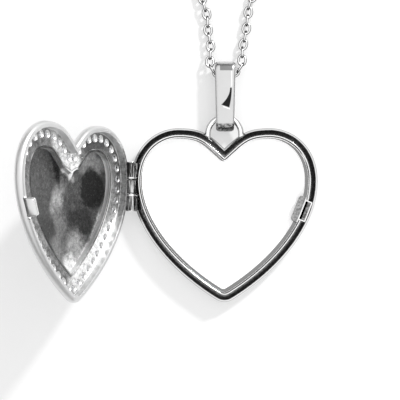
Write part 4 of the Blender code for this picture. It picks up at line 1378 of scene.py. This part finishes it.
# %% [markdown]
# **The card and the stones.** Paper is matt and nearly white, with fibres too fine to see but
# for a slight tooth. A little emission stands for the light that a dish of polished metal throws
# back on it. The stones are clear and bend light strongly, so they need no colour of their own,
# only a smooth surface and a high index.

# %% Card and stones
paper = Finish("card", metallic=0.0, roughness=0.6)
fibres = paper.noise(paper.place(), 9.0, 5.0, 0.7)
paper.colour(0.9 + 0.03 * fibres)
paper.put("Emission Color", (1.0, 1.0, 1.0, 1.0))
paper.put("Emission Strength", 0.35)
paper.bump(fibres, 0.01, 0.4)
dress(paper, card)

crystal = Finish("cut crystal", metallic=0.0, roughness=0.02, base_color=(0.95, 0.96, 0.98, 1.0),
                 ior=2.1, transmission_weight=0.75)
dress(crystal, *stone_rows.values())

# %% [markdown]
# ## Every piece rides on its body
# The mechanical model moves in four bodies: the back, the cover, the bail and the clasp's bolt.
# Each piece rides on one of them and stands for the plain solid that it replaces; the table also
# lists a finish slot for each row.

# %% Ride and replace, with a slot listed for each row
PIECES = [
    ("back", "polished_silver", [
        (back_case, "back_shell"), (lip, "inner_bezel"), (catch_body, "catch_housing"),
        (hinge_upper, "hinge_knuckle_upper"), (hinge_lower, "hinge_knuckle_lower"),
        (hanging_ring, "hanging_ring")]),
    ("back", "card", [(card, "photo_card")]),
    ("cover", "polished_silver", [
        (hinge_middle, "hinge_knuckle_middle"), (cover_frame, "cover_shell"),
        (raised_heart, "cover_center"), (tab_inner, "catch_tab_inner"),
        (tab_outer, "catch_tab_outer"), (beads,)]),
    ("cover", "stone", [(row, "stones_%s_%s" % key) for key, row in stone_rows.items()]),
    ("bail", "polished_silver", [(bail, "bail")]),
    ("bail", "chain_silver", [(bail_links, "chain_bail")]),
    ("back", "chain_silver", [
        (chain, "chain_left", "chain_right", "chain_coil", "chain_tail")]),
    ("bolt", "findings", [(bolt, "clasp_bolt")]),
    ("back", "findings", [
        (pin, "hinge_pin"), (clasp_body, "clasp_body"), (clasp_spring, "clasp_spring"),
        (clasp_loop, "clasp_loop"), (clasp_link, "clasp_link"), (end_ring, "end_ring")]),
]
for body, slot_name, rows in PIECES:
    for piece, *nodes in rows:
        if nodes:
            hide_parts(*nodes)
        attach(piece, body)
[tuple(p * MM) for p in ROUTE[::5] + [ROUTE[-1]]]
print("pieces:", sum(len(rows) for _, _, rows in PIECES))

# %% [markdown]
# ## Floor and light
# The table is a plain white sweep. One soft light stands high at the upper right, so that every
# shadow falls gently to the lower left. Polished metal shows its surroundings, so these matter as
# much as the lamp: a bright ceiling gives the white surfaces, and a darker band round the horizon
# gives the thin dark lines that draw the edges.

# %% Floor
pick()
bpy.ops.mesh.primitive_plane_add(size=1.6, location=(0, 0, -0.00003))
floor = bpy.context.object
floor.name = "table"
white = Finish("table", roughness=0.9)
white.colour(0.5 + 0.01 * white.noise(white.place(), 0.2, 2.0))
white.put("Emission Color", (1.0, 1.0, 1.0, 1.0))
white.put("Emission Strength", 0.41)
white.shader.inputs["Specular IOR Level"].default_value = 0.0
dress(white, floor)

# %% Light
LIGHT_FROM = Vector((0.5, 0.66, 0.52)).normalized()
lamp_data = bpy.data.lights.new("key", "AREA")
lamp_data.shape, lamp_data.size, lamp_data.energy = "DISK", 0.06, 2.6
lamp = new_object("key", lamp_data)
lamp.location = LIGHT_FROM * 0.6
lamp.rotation_mode = "QUATERNION"
lamp.rotation_quaternion = LIGHT_FROM.to_track_quat("Z", "Y")
print("lamp: %.0f degrees above the table" % math.degrees(math.asin(LIGHT_FROM.z)))

# %% Surroundings
world = bpy.data.worlds.new("studio")
scene.world = world
world.use_nodes = True
sky, wires = world.node_tree.nodes, world.node_tree.links
direction = sky.new("ShaderNodeTexCoord")
split = sky.new("ShaderNodeSeparateXYZ")
ramp = sky.new("ShaderNodeValToRGB")
wires.new(direction.outputs["Generated"], split.inputs[0])
wires.new(split.outputs["Z"], ramp.inputs[0])
wires.new(ramp.outputs[0], sky["Background"].inputs["Color"])
fill_ramp(ramp.color_ramp, [(0.0, 0.02), (0.34, 0.03), (0.41, 0.85), (1.0, 1.0)])
sky["Background"].inputs["Strength"].default_value = 1.15
scene.view_settings.view_transform = "Standard"
scene.view_settings.look = "None"
print("surroundings:", world.name)
